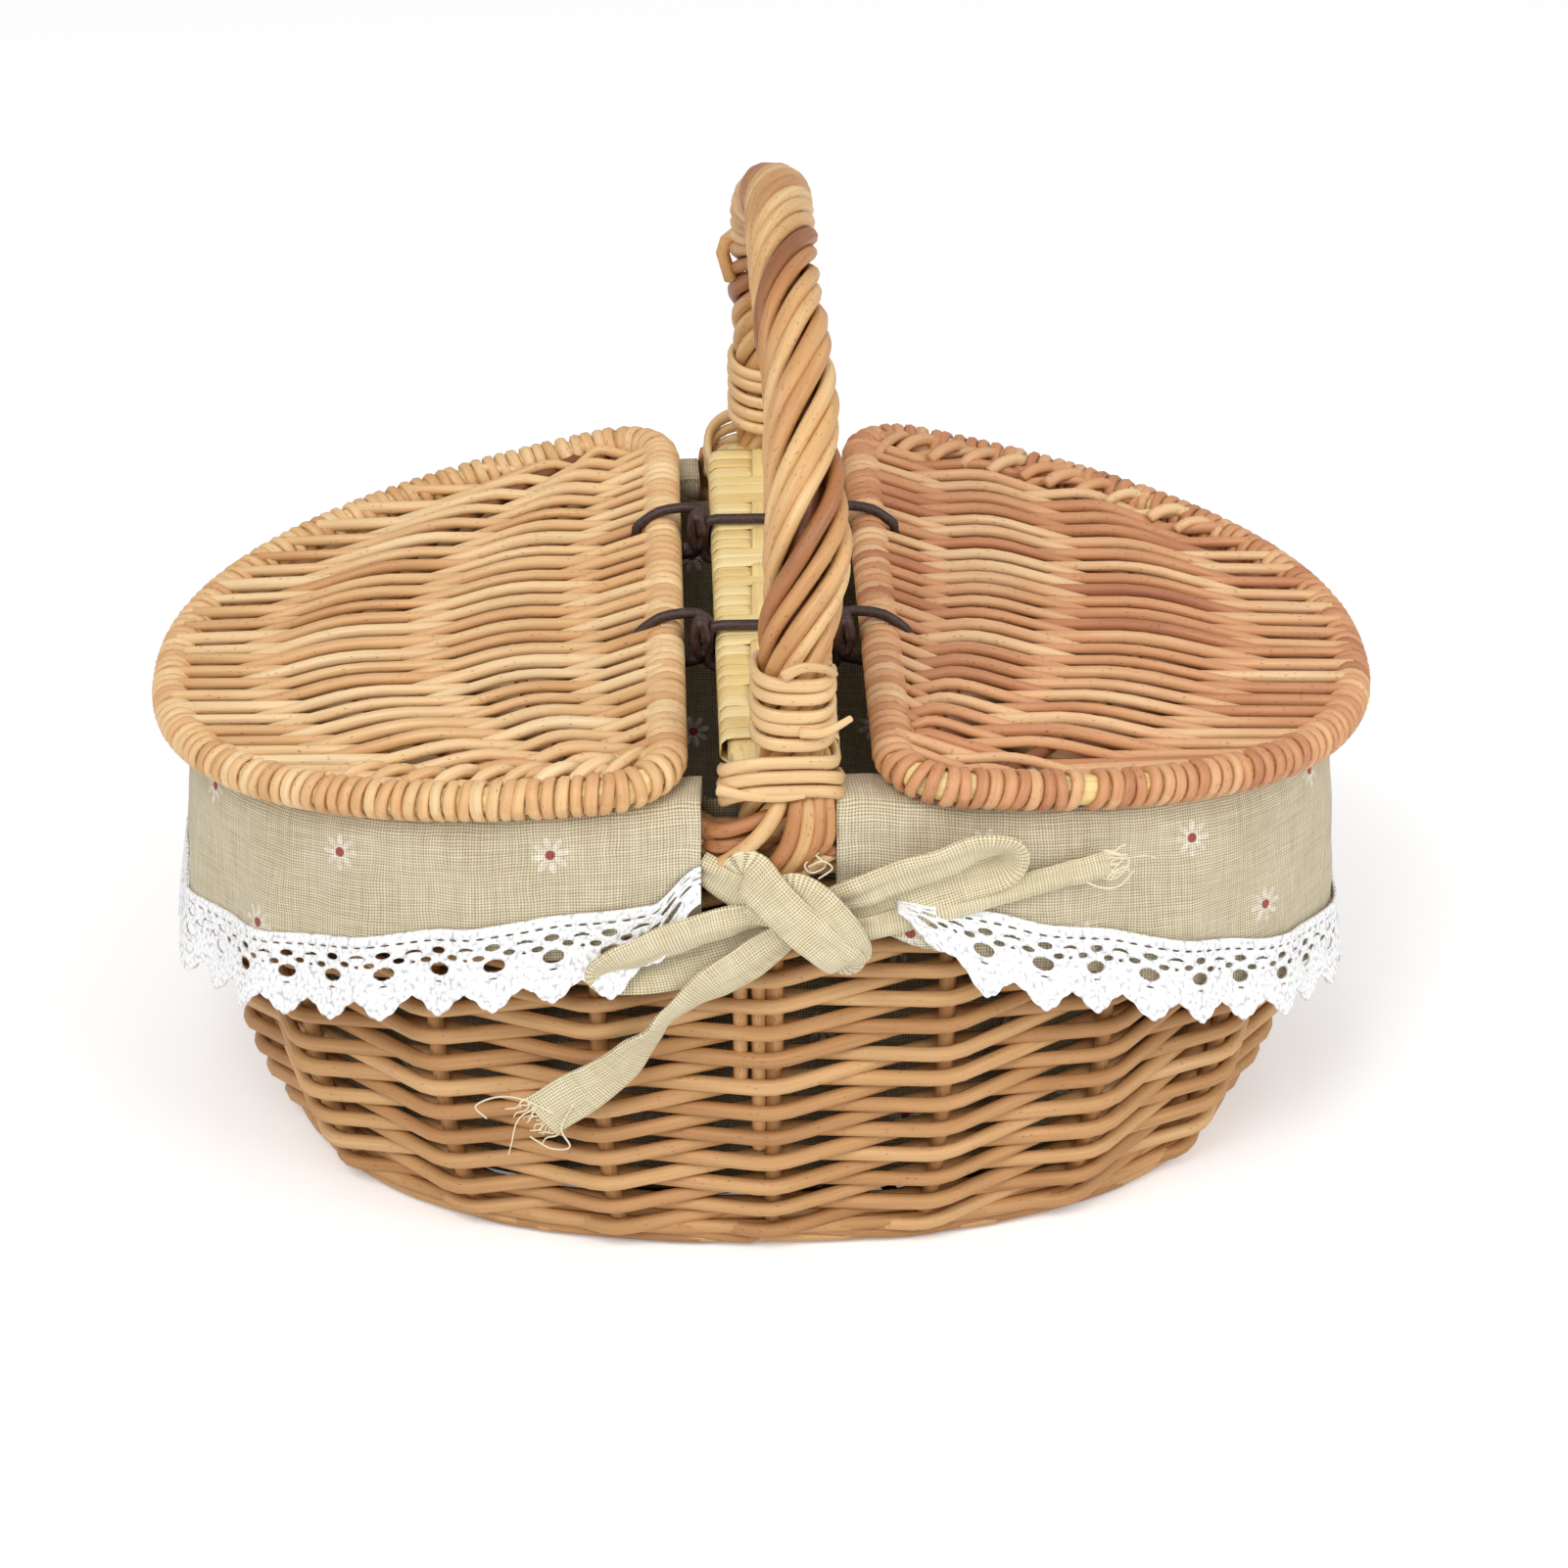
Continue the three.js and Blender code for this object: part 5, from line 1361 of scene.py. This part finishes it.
# Each strip's way, widths along it in mm, lean in degrees and the depth of its pleats in mm
LOOP_WIDTHS = [8, 11, 11.5, 11.5, 11.5, 12, 14, 13, 9]
BOW = {
    "left_loop": ([[2, 129, 5], [-9, 130, 8], [-22, 127, 10], [-35, 122, 11.5], [-45, 116.5, 11],
                   [-50, 111.5, 8], [-46.5, 108.5, 4.5], [-34, 109.5, 3.5], [-20, 113.5, 3.5],
                   [-6, 119, 3.5], [3, 124, 4]], LOOP_WIDTHS, [10, 10, 15, 40, 20, 5, 5], 0.8),
    "right_loop": ([[12, 130, 5], [22, 137, 8], [35, 142.5, 9.5], [48, 147, 10.5],
                    [60, 151, 10.5], [67.5, 148, 8.5], [66.5, 141, 5.5], [54, 137.5, 4.5],
                    [38, 133, 4], [22, 127.5, 3.5], [13, 126, 3.5]],
                   LOOP_WIDTHS, [-10, -10, -15, -40, -20, -5, -5], 0.8),
    "left_tail": ([[4, 125, 8], [-8, 115, 8], [-19, 107, 7.5], [-28, 99, 7], [-37, 88, 6.5],
                   [-48, 75.5, 6.5], [-60, 66, 7], [-70.5, 57.5, 7.5]],
                  [9, 12.5, 12.5, 8, 12, 14, 15, 15], [0, 5, 20, 60, 20, 0, 0], 0.6),
    "right_tail": ([[14, 126, 6], [25, 124.5, 6.5], [41, 127.5, 5.5], [58, 131.5, 5.5],
                    [75, 135, 6.5], [88, 137, 7.5], [97.5, 138.5, 8]],
                   [8, 8, 7.5, 7.5, 7.5, 8, 9], [0, 0, 10, 20, 10, 0, 0], 0.8),
    "strap": ([[-8.5, 143, 3], [-8, 145.5, 7], [-4, 143, 11.5], [2, 137, 14.5], [9, 129.5, 16],
               [15.5, 122.5, 15], [20.5, 117, 12], [21, 114.5, 7], [18, 115, 4]],
              [12.5, 14, 13.5, 13, 13, 12.5, 12, 11, 9], [0, 0, 0, 0, 0, 0], 0.5),
    "cross": ([[2, 138, 6], [6, 140.5, 11], [12, 137.5, 14], [17.5, 130.5, 14.5],
               [21.5, 123, 12.5], [23.5, 117.5, 8], [22.5, 115, 5]],
              [9, 12, 12.5, 12.5, 12, 11, 9], [0, 0, 0, 0], 0.5),
    "lead": ([[-22, 144, 1.5], [-17, 142, 4], [-9, 138, 7], [-1, 133, 8.5], [6, 130, 8]],
             [9, 11, 12, 11, 9], [0, 0, 0], 0.7),
}


def frayed_rods(tip, before, width, rng, count, reach):
    """Loose threads at a strip's cut end."""
    along = tip - before
    along /= np.linalg.norm(along)
    side = np.cross(along, [0, 1, 0])
    side /= np.linalg.norm(side)
    for k in range(count):
        start = tip + side * width * (k / (count - 1) - 0.5) - along * 1.5 * MM
        length = reach * rng.uniform(0.3, 1.0) * (2.2 if k % 7 == 3 else 1)
        bend = rng.normal(0, 0.9 if k % 7 == 3 else 0.45, 3)
        s = np.linspace(0, 1, 9)[:, None]
        points = start + along * length * s + side * length * 0.35 * bend[0] * s ** 2
        points = points + np.array([0, -1, 0]) * length * 0.25 * bend[1] * s ** 2
        points = points + side * 0.6 * MM * np.sin(TURN * s * 1.2 + bend[2] * 6)
        yield Rod(points, 0.28 * MM * (1 - 0.3 * s[:, 0]), rng.uniform(0, 1))


def linen(name, tone, flowers=None):
    """Plain-woven linen: thick and thin threads, pores darkened with painted shade, and a sprig
    print.

    Tones are given as the threads' three colours and the painted shade of the pores; flowers as the
    petals' colour and the centre's.
    """
    m = Nodes(name)
    uv = m.add("ShaderNodeUVMap", uv_map="cloth").outputs[0]
    drift = m.noise(uv, 60.0, 2.0, 0.5, "Color")
    wander = m.vector("MULTIPLY", m.vector("SUBTRACT", drift, (0.5, 0.5, 0.5)),
                      (0.0022, 0.0022, 0))
    threads = m.vector("MULTIPLY", m.vector("ADD", uv, wander), (1 / THREAD, 1 / THREAD, 0))
    warp, weft = (m.wave("SINE", m.math("MULTIPLY", way, math.pi))
                  for way in m.across_and_along(threads))
    over = m.add("ShaderNodeTexChecker", {"Vector": threads, "Scale": 1.0}).outputs["Fac"]
    warp_high = m.math("MULTIPLY", warp, m.math("ADD", 0.6, m.math("MULTIPLY", over, 0.4)))
    weft_high = m.math("MULTIPLY", weft, m.math("SUBTRACT", 1.0, m.math("MULTIPLY", over, 0.4)))
    height = m.math("MAXIMUM", warp_high, weft_high)
    slub = m.noise(m.vector("MULTIPLY", uv, (1100, 60, 0)), 1.0, 2.0)
    slub2 = m.noise(m.vector("MULTIPLY", uv, (60, 1100, 0)), 1.0, 2.0)
    patch = m.noise(uv, 35.0, 3.0)
    tint = m.math("ADD", m.math("MULTIPLY", m.math("ADD", slub, slub2), 0.38),
                  m.math("MULTIPLY", patch, 0.24))
    thread = m.ramp(tint, [(0.3, linear(tone[0])), (0.5, linear(tone[1])), (0.7, linear(tone[2]))])
    # Colour darkens towards tone[3] where the threads are low: painted shade in the pores between
    # them.
    pore_shade = m.ramp(height, [(0.35, linear(tone[3])), (0.68, (1.0, 1.0, 1.0))])
    colour = m.blend(1.0, thread, pore_shade, "MULTIPLY")
    if flowers:
        colour = sprigs(m, uv, colour, height, *flowers)
    m.look(Base_Color=colour, Roughness=0.92, Specular_IOR_Level=0.2, Sheen_Weight=0.15,
           Sheen_Roughness=0.5)
    m.bump(m.math("ADD", height, m.math("MULTIPLY", slub, 0.5)), 0.6, 0.35 * MM)
    return m.material


THREAD = 0.92 * MM
SPRIG_SPACING = 44 * MM


def sprigs(m, uv, colour, height, petals, centres):
    """A small printed daisy on every point of a slanted lattice."""
    turned = m.add("ShaderNodeMapping", {"Vector": uv, "Location": (0.012, 0.021, 0),
                                         "Rotation": (0, 0, math.radians(45))}).outputs[0]
    cells = m.add("ShaderNodeTexVoronoi", {"Vector": turned, "Scale": 1 / SPRIG_SPACING,
                                           "Randomness": 0.25}, voronoi_dimensions="2D")
    x, y = m.across_and_along(m.vector("SUBTRACT", turned, cells.outputs["Position"]))
    radius = m.math("SQRT", m.math("ADD", m.math("POWER", x, 2.0), m.math("POWER", y, 2.0)))
    angle = m.math("ARCTAN2", y, x)
    spin = m.math("MULTIPLY", m.red(cells.outputs["Color"]), TURN)
    wave = m.wave("COSINE", m.math("ADD", m.math("MULTIPLY", angle, 4.0), spin))
    reach = m.math("MULTIPLY", m.math("POWER", wave, 0.7), 6.0 * MM)
    petal = m.math("MULTIPLY", m.math("LESS_THAN", radius, reach),
                   m.math("GREATER_THAN", radius, 1.7 * MM))
    # The print fades on the noise, which is wear, and where the threads are low, which keeps the
    # painted shade of the pores.
    wear_and_pore_shade = m.math("MULTIPLY", m.ramp(height, [(0.45, 0.35), (0.75, 0.85)]),
                  m.ramp(m.noise(uv, 300.0, 2.0), [(0.35, 0.2), (0.65, 1.0)]))
    colour = m.blend(m.math("MULTIPLY", petal, wear_and_pore_shade), colour, petals)
    centre = m.math("LESS_THAN", radius, 1.5 * MM)
    return m.blend(m.math("MULTIPLY", centre, 0.88), colour, centres)


def lace_material():
    """White cotton crochet: close stitches, with painted shade in the soft hollows between them."""
    m = Nodes("white_lace")
    uv = m.add("ShaderNodeUVMap", uv_map="cloth").outputs[0]
    cell = m.add("ShaderNodeTexVoronoi", {"Vector": m.vector("MULTIPLY", uv, (1, 0.75, 1))},
                 feature="SMOOTH_F1", voronoi_dimensions="2D")
    cell.inputs["Scale"].default_value = 1 / (1.15 * MM)
    cell.inputs["Smoothness"].default_value = 0.4
    stitch = m.math("SUBTRACT", 1.0, cell.outputs["Distance"])
    fuzz = m.noise(uv, 2600.0, 2.0)
    height = m.math("ADD", stitch, m.math("MULTIPLY", fuzz, 0.35))
    # The grey low end of this ramp is painted shade in the hollows between the stitches.
    whites_and_hollow_shade = [(0.35, linear("c6c7cb")), (0.62, linear("e9e9ea")), (0.95, linear("fbfaf8"))]
    m.look(Base_Color=m.ramp(height, whites_and_hollow_shade), Roughness=0.85, Specular_IOR_Level=0.2,
           Sheen_Weight=0.1)
    m.bump(height, 0.7, 0.5 * MM)
    return m.material


def thread_material():
    m = Nodes("loose_thread")
    tint = m.attribute("rod_tint", "Fac")
    place = m.attribute("rod_place", "Vector")
    twist = m.noise(m.vector("MULTIPLY", place, (900, 2500, 2500)), 1.0, 2.0)
    shade = m.math("ADD", m.math("MULTIPLY", tint, 0.6), m.math("MULTIPLY", twist, 0.4))
    m.look(Base_Color=m.ramp(shade, ramp_of("d9cba6", "efe6cb")), Roughness=0.9)
    return m.material


# Long threads pulled from the bow: x, height and stand-off in mm
LONG_THREADS = (
    ((-66, 60, 8), (-75, 64, 8), (-83, 63, 7), (-90, 58, 6.5), (-87, 54, 6.5)),
    ((-60, 64, 8), (-64, 55, 8.5), (-62, 48, 8), (-68, 46, 7), (-74, 50, 7.5)),
    ((90, 139, 8), (98, 142, 8.5), (103, 138, 8.5), (99, 133, 8), (94, 136, 8), (97, 141, 9)),
    ((88, 136, 8), (95, 131, 8), (101, 130, 7.5), (105, 134, 7.5)),
    ((9, 151, 4), (13, 149, 6), (15, 145.5, 5), (11, 144, 6), (9, 147, 6.5), (13, 150, 5)),
    ((10, 146, 6), (14, 148, 6.5), (17, 145, 5.5), (13, 142, 6)),
)


def long_threads():
    for k, way in enumerate(LONG_THREADS):
        here, _ = front_place(through(np.array(way) * MM, 40))
        yield Rod(here, 0.3 * MM, 0.3 + 0.1 * k)


# Settings

class HamperSettings(bpy.types.PropertyGroup):
    """Sizes and colours that a maker might change."""

    weaver_diameter: bpy.props.FloatProperty(
        name="Weaver diameter", description="Thickness of the rods of the body",
        default=5.1 * MM, unit="LENGTH")
    row_rise: bpy.props.FloatProperty(
        name="Row rise", description="Height from one rod to the next in front of a stake",
        default=9.54 * MM, unit="LENGTH")
    lid_weaver_diameter: bpy.props.FloatProperty(
        name="Lid weaver diameter", description="Thickness of the rods of the lids",
        default=4.15 * MM, unit="LENGTH")
    lid_row_pitch: bpy.props.FloatProperty(
        name="Lid row pitch", description="Distance between the rows of a lid",
        default=4.35 * MM, unit="LENGTH")
    border_wrap_pitch: bpy.props.FloatProperty(
        name="Border wrap pitch", description="Distance between the wraps of a lid's border",
        default=4.2 * MM, unit="LENGTH")
    handle_rods: bpy.props.IntProperty(
        name="Handle rods", description="Rods laid round the handle's core", default=9)
    rope_pitch: bpy.props.FloatProperty(
        name="Rope pitch", description="Length of handle in which a rod goes round once",
        default=95 * MM, unit="LENGTH")
    cane_diameter: bpy.props.FloatProperty(
        name="Cane diameter", description="Thickness of the binding canes",
        default=3.6 * MM, unit="LENGTH")
    chip_width: bpy.props.FloatProperty(
        name="Chip width", description="Width of the flat chip round the bar",
        default=6.8 * MM, unit="LENGTH")
    petal_colour: bpy.props.FloatVectorProperty(
        name="Petal colour", description="Colour of the printed daisies' petals",
        default=linear("f6f1e8"), size=3, min=0, max=1, subtype="COLOR")
    flower_centre_colour: bpy.props.FloatVectorProperty(
        name="Flower centre colour", description="Colour of the printed daisies' centres",
        default=linear("93202c"), size=3, min=0, max=1, subtype="COLOR")
    leather_colour: bpy.props.FloatVectorProperty(
        name="Leather colour", description="Colour of the leather thongs' lighter grain",
        default=linear("4c332b"), size=3, min=0, max=1, subtype="COLOR")


def nodes_named(*starts):
    return [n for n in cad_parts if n.startswith(starts)]


class HAMPER_OT_body(bpy.types.Operator):
    """Weaves the base, the foot, the side and the rim"""
    bl_idname = "hamper.body"
    bl_label = "Woven body"

    def execute(self, context):
        settings = context.scene.hamper
        looks = willow_materials()
        stakes = nodes_named("side_stake_")
        for name, rods, look, slot, nodes in (
                ("base_weavers", base_rods(), "body", "willow_brown", ["base_weave"]),
                ("base_spokes", stick_rods(), "dark", "willow_dark", ["base_sticks"]),
                ("foot_rods", foot_rods(), "body", "willow_brown", ["foot_wale"]),
                ("side_rods", side_rods(settings), "body", "willow_brown", ["side_weave"]),
                ("stakes", stake_rods(), "body", "willow_dark", stakes),
                ("handle_roots", root_rods(), "handle", "willow_dark", ["handle_core"]),
                ("rim_rods", rim_rods(), "body", "willow_brown", ["rim_border"])):
            rod_piece(name, rods, looks[look], "hamper", slot, *nodes)
        return {"FINISHED"}


class HAMPER_OT_handle(bpy.types.Operator):
    """Lays the rope handle and ties it to the bar"""
    bl_idname = "hamper.handle"
    bl_label = "Handle and bindings"

    def execute(self, context):
        settings = context.scene.hamper
        looks = willow_materials()
        rod_piece("handle_rods", handle_rods(settings), looks["handle"], "hamper",
                  "willow_light", "handle_rope", sides=10)
        for side, place in ((-1, "front"), (1, "back")):
            canes = [binding_rod(side, settings)]
            if place == "front":
                canes += cane_ends(settings)
            rod_piece(f"{place}_binding", canes, looks["cane"], "hamper", "willow_light",
                      f"collar_{place}")
        return {"FINISHED"}


class HAMPER_OT_bar(bpy.types.Operator):
    """Wraps the bar in flat chip"""
    bl_idname = "hamper.bar"
    bl_label = "Bar"

    def execute(self, context):
        settings = context.scene.hamper
        looks = willow_materials()
        rod_piece("bar_chip", bar_wraps(settings), looks["chip"], "hamper", "pale_chip",
                  "bar_wrap")
        rod_piece("bar_rods", bar_core_rods(), looks["chip"], "hamper", "willow_dark",
                  "bar_core")
        return {"FINISHED"}


class HAMPER_OT_lids(bpy.types.Operator):
    """Weaves both lids"""
    bl_idname = "hamper.lids"
    bl_label = "Lids"

    def execute(self, context):
        settings = context.scene.hamper
        looks = willow_materials()
        for label in ("left", "right"):
            lid = Lid(label)
            body = f"{label}_lid"
            rod_piece(f"{body}_weavers", lid.weavers(settings), looks[label], body,
                      "willow_light", f"{body}_weave")
            rod_piece(f"{body}_border", lid.wraps(settings), looks[label], body,
                      "willow_light", sides=6)
            rod_piece(f"{body}_hoop", lid.frame_rods(), looks["chip"], body, "pale_chip",
                      f"{body}_frame")
            rod_piece(f"{body}_ribs", lid.rib_rods(), looks["dark"], body, "willow_brown",
                      *nodes_named(f"{body}_rib_"))
        return {"FINISHED"}


class HAMPER_OT_thongs(bpy.types.Operator):
    """Ties the leather hinges"""
    bl_idname = "hamper.thongs"
    bl_label = "Leather thongs"

    def execute(self, context):
        material = leather(context.scene.hamper)
        for place, y in THONG_PLACES.items():
            rod_piece(f"bar_thong_tie_{place}", bar_thong_rods(y), material, "hamper",
                      "leather", f"bar_thong_{place}")
            for label in ("left", "right"):
                lid = Lid(label)
                beside = lid.side * (y + THONG_STEP)
                rod_piece(f"{label}_thong_tie_{place}", [lid.thong_rod(beside)], material,
                          f"{label}_lid", "leather", f"{label}_lid_thong_{place}")
        return {"FINISHED"}


class HAMPER_OT_liner(bpy.types.Operator):
    """Sews the bag, the skirts and their lace"""
    bl_idname = "hamper.liner"
    bl_label = "Liner, skirts and lace"

    def execute(self, context):
        settings = context.scene.hamper
        flowers = (settings.petal_colour, settings.flower_centre_colour)
        cloth = linen("printed_linen", ("b6a88a", "d5c9ab", "eae1cb", "94866a"), flowers)
        # The bag's linen is the skirts' linen at about three quarters of its brightness: painted
        # shade for the inside of the hamper.
        shaded_lining = linen("shaded_bag_linen", ("84785e", "9c8f73", "b0a488", "675b45"), flowers)
        white = lace_material()
        points, uv = bag_grid()
        bag = hand_in(sheet_object("liner_bag_cloth", points, uv, CLOTH_THICKNESS, closed=True),
                      shaded_lining, "hamper", "linen", "liner_bag")
        for label, side in (("left", -1), ("right", 1)):
            points, uv, inside = lace_grid(side)
            edge = hand_in(sheet_object(f"lace_edge_{label}", points, uv, LACE_THICKNESS,
                                        holes=inside), white, "hamper", "lace", f"lace_{label}")
            points, uv = skirt_grid(side)
            skirt = hand_in(sheet_object(f"skirt_cloth_{label}", points, uv, CLOTH_THICKNESS),
                            cloth, "hamper", "linen", f"skirt_{label}")
        return {"FINISHED"}


class HAMPER_OT_ties(bpy.types.Operator):
    """Ties the bows at the front and back"""
    bl_idname = "hamper.ties"
    bl_label = "Bows"

    def execute(self, context):
        cloth = linen("tie_linen", ("c6b994", "e2d6b5", "f1e8d0", "a09268"))
        thread = thread_material()
        for place, spin in (("front", 0.0), ("back", math.pi)):
            turn = Matrix.Rotation(spin, 4, "Z")
            nodes = {"left_loop": f"{place}_bow_left", "right_loop": f"{place}_bow_right",
                     "strap": f"{place}_bow_knot"}
            rng = np.random.default_rng(SEEDS["bow"])
            threads = list(long_threads())
            for seed, (part, (way, widths, tilt, pleat)) in enumerate(BOW.items()):
                points, uv = band_grid(way, widths, tilt, pleat, seed)
                if part.endswith("tail"):
                    middle = points[:, 7]
                    threads += frayed_rods(middle[-1], middle[-6], widths[-1] * MM, rng, 15,
                                           8 * MM)
                band = sheet_object(f"{place}_tie_{part}", points, uv, TIE_THICKNESS)
                soft = band.modifiers.new("rounded", "SUBSURF")
                soft.levels = soft.render_levels = 1
                band.data.transform(turn)
                held = [nodes[part]] if part in nodes else []
                hand_in(band, cloth, "hamper", "linen", *held)
                width = max(11 * MM, float(np.mean(widths)) * MM)
                fringe = []
                if part == "right_tail":
                    fray = rods_object(f"{place}_tie_fray", threads, 6)
                    fray.data.transform(turn)
                    fringe = [hand_in(fray, thread, "hamper", "linen")]
        return {"FINISHED"}


# Each lamp: its name, place in metres, size and power
LAMPS = (("key", (-0.8, -1.5, 1.9), 1.3, 28.0), ("fill", (1.4, -1.1, 1.3), 1.4, 16.0))
LAMP_TARGET = Vector((0, 0, 0.1))
WORLD_LIGHT = 0.62
FLOOR_HALF_SIZE = 6
FLOOR_GLOW = 0.2
CAMERA_PLACE = (-35.3 * MM, -1347.7 * MM, 829.6 * MM)
CAMERA_PITCH = 28.28
CAMERA_YAW = 1.80
CAMERA_LENS = 109.3


class HAMPER_OT_stage(bpy.types.Operator):
    """Sets the floor, the lamps and the camera"""
    bl_idname = "hamper.stage"
    bl_label = "Stage"

    def execute(self, context):
        scene = context.scene
        mesh = bpy.data.meshes.new("floor")
        with edited(mesh) as bm:
            bmesh.ops.create_grid(bm, x_segments=2, y_segments=2, size=FLOOR_HALF_SIZE)
        floor = bpy.data.objects.new("floor", mesh)
        scene.collection.objects.link(floor)
        paper = Nodes("white_paper")
        seen = paper.add("ShaderNodeLightPath").outputs["Is Camera Ray"]
        paper.look(Base_Color=(0.94, 0.94, 0.94, 1), Roughness=0.9, Specular_IOR_Level=0.1,
                   Emission_Color=(1, 1, 1, 1),
                   Emission_Strength=paper.math("MULTIPLY", seen, FLOOR_GLOW))
        mesh.materials.append(paper.material)

        world = bpy.data.worlds.new("studio")
        world.use_nodes = True
        tree = world.node_tree
        background = tree.nodes["Background"]
        path = tree.nodes.new("ShaderNodeLightPath")
        level = tree.nodes.new("ShaderNodeMix")
        level.inputs[2].default_value = WORLD_LIGHT
        level.inputs[3].default_value = 1.0
        tree.links.new(path.outputs["Is Camera Ray"], level.inputs[0])
        tree.links.new(level.outputs[0], background.inputs["Strength"])
        background.inputs["Color"].default_value = (1, 1, 1, 1)
        scene.world = world

        for name, place, size, watts in LAMPS:
            light = bpy.data.lights.new(name, "AREA")
            light.size = size
            light.energy = watts
            lamp = bpy.data.objects.new(name, light)
            lamp.location = place
            aim = LAMP_TARGET - Vector(place)
            lamp.rotation_euler = aim.to_track_quat("-Z", "Y").to_euler()
            scene.collection.objects.link(lamp)

        data = bpy.data.cameras.new("camera")
        data.sensor_width = 36
        data.lens = CAMERA_LENS
        camera = bpy.data.objects.new("camera", data)
        camera.location = CAMERA_PLACE
        camera.rotation_euler = (math.radians(90 - CAMERA_PITCH), 0, -math.radians(CAMERA_YAW))
        scene.collection.objects.link(camera)
        scene.camera = camera
        scene.view_settings.view_transform = "Standard"
        return {"FINISHED"}


class HAMPER_PT_panel(bpy.types.Panel):
    """Lists the pieces of the hamper"""
    bl_idname = "HAMPER_PT_panel"
    bl_label = "Picnic hamper"
    bl_space_type = "VIEW_3D"
    bl_region_type = "UI"
    bl_category = "Hamper"

    def draw(self, context):
        for name in HamperSettings.__annotations__:
            self.layout.prop(context.scene.hamper, name)
        for operator in OPERATORS:
            self.layout.operator(operator.bl_idname)


OPERATORS = (HAMPER_OT_stage, HAMPER_OT_body, HAMPER_OT_handle, HAMPER_OT_bar, HAMPER_OT_lids,
             HAMPER_OT_thongs, HAMPER_OT_liner, HAMPER_OT_ties)


def register():
    bpy.utils.register_class(HamperSettings)
    for operator in OPERATORS:
        bpy.utils.register_class(operator)
    bpy.utils.register_class(HAMPER_PT_panel)
    bpy.types.Scene.hamper = bpy.props.PointerProperty(type=HamperSettings)


def unregister():
    del bpy.types.Scene.hamper
    bpy.utils.unregister_class(HAMPER_PT_panel)
    for operator in reversed(OPERATORS):
        bpy.utils.unregister_class(operator)
    bpy.utils.unregister_class(HamperSettings)


def main():
    register()
    for operator in OPERATORS:
        family, name = operator.bl_idname.split(".")
        getattr(getattr(bpy.ops, family), name)()


if __name__ == "__main__":
    main()
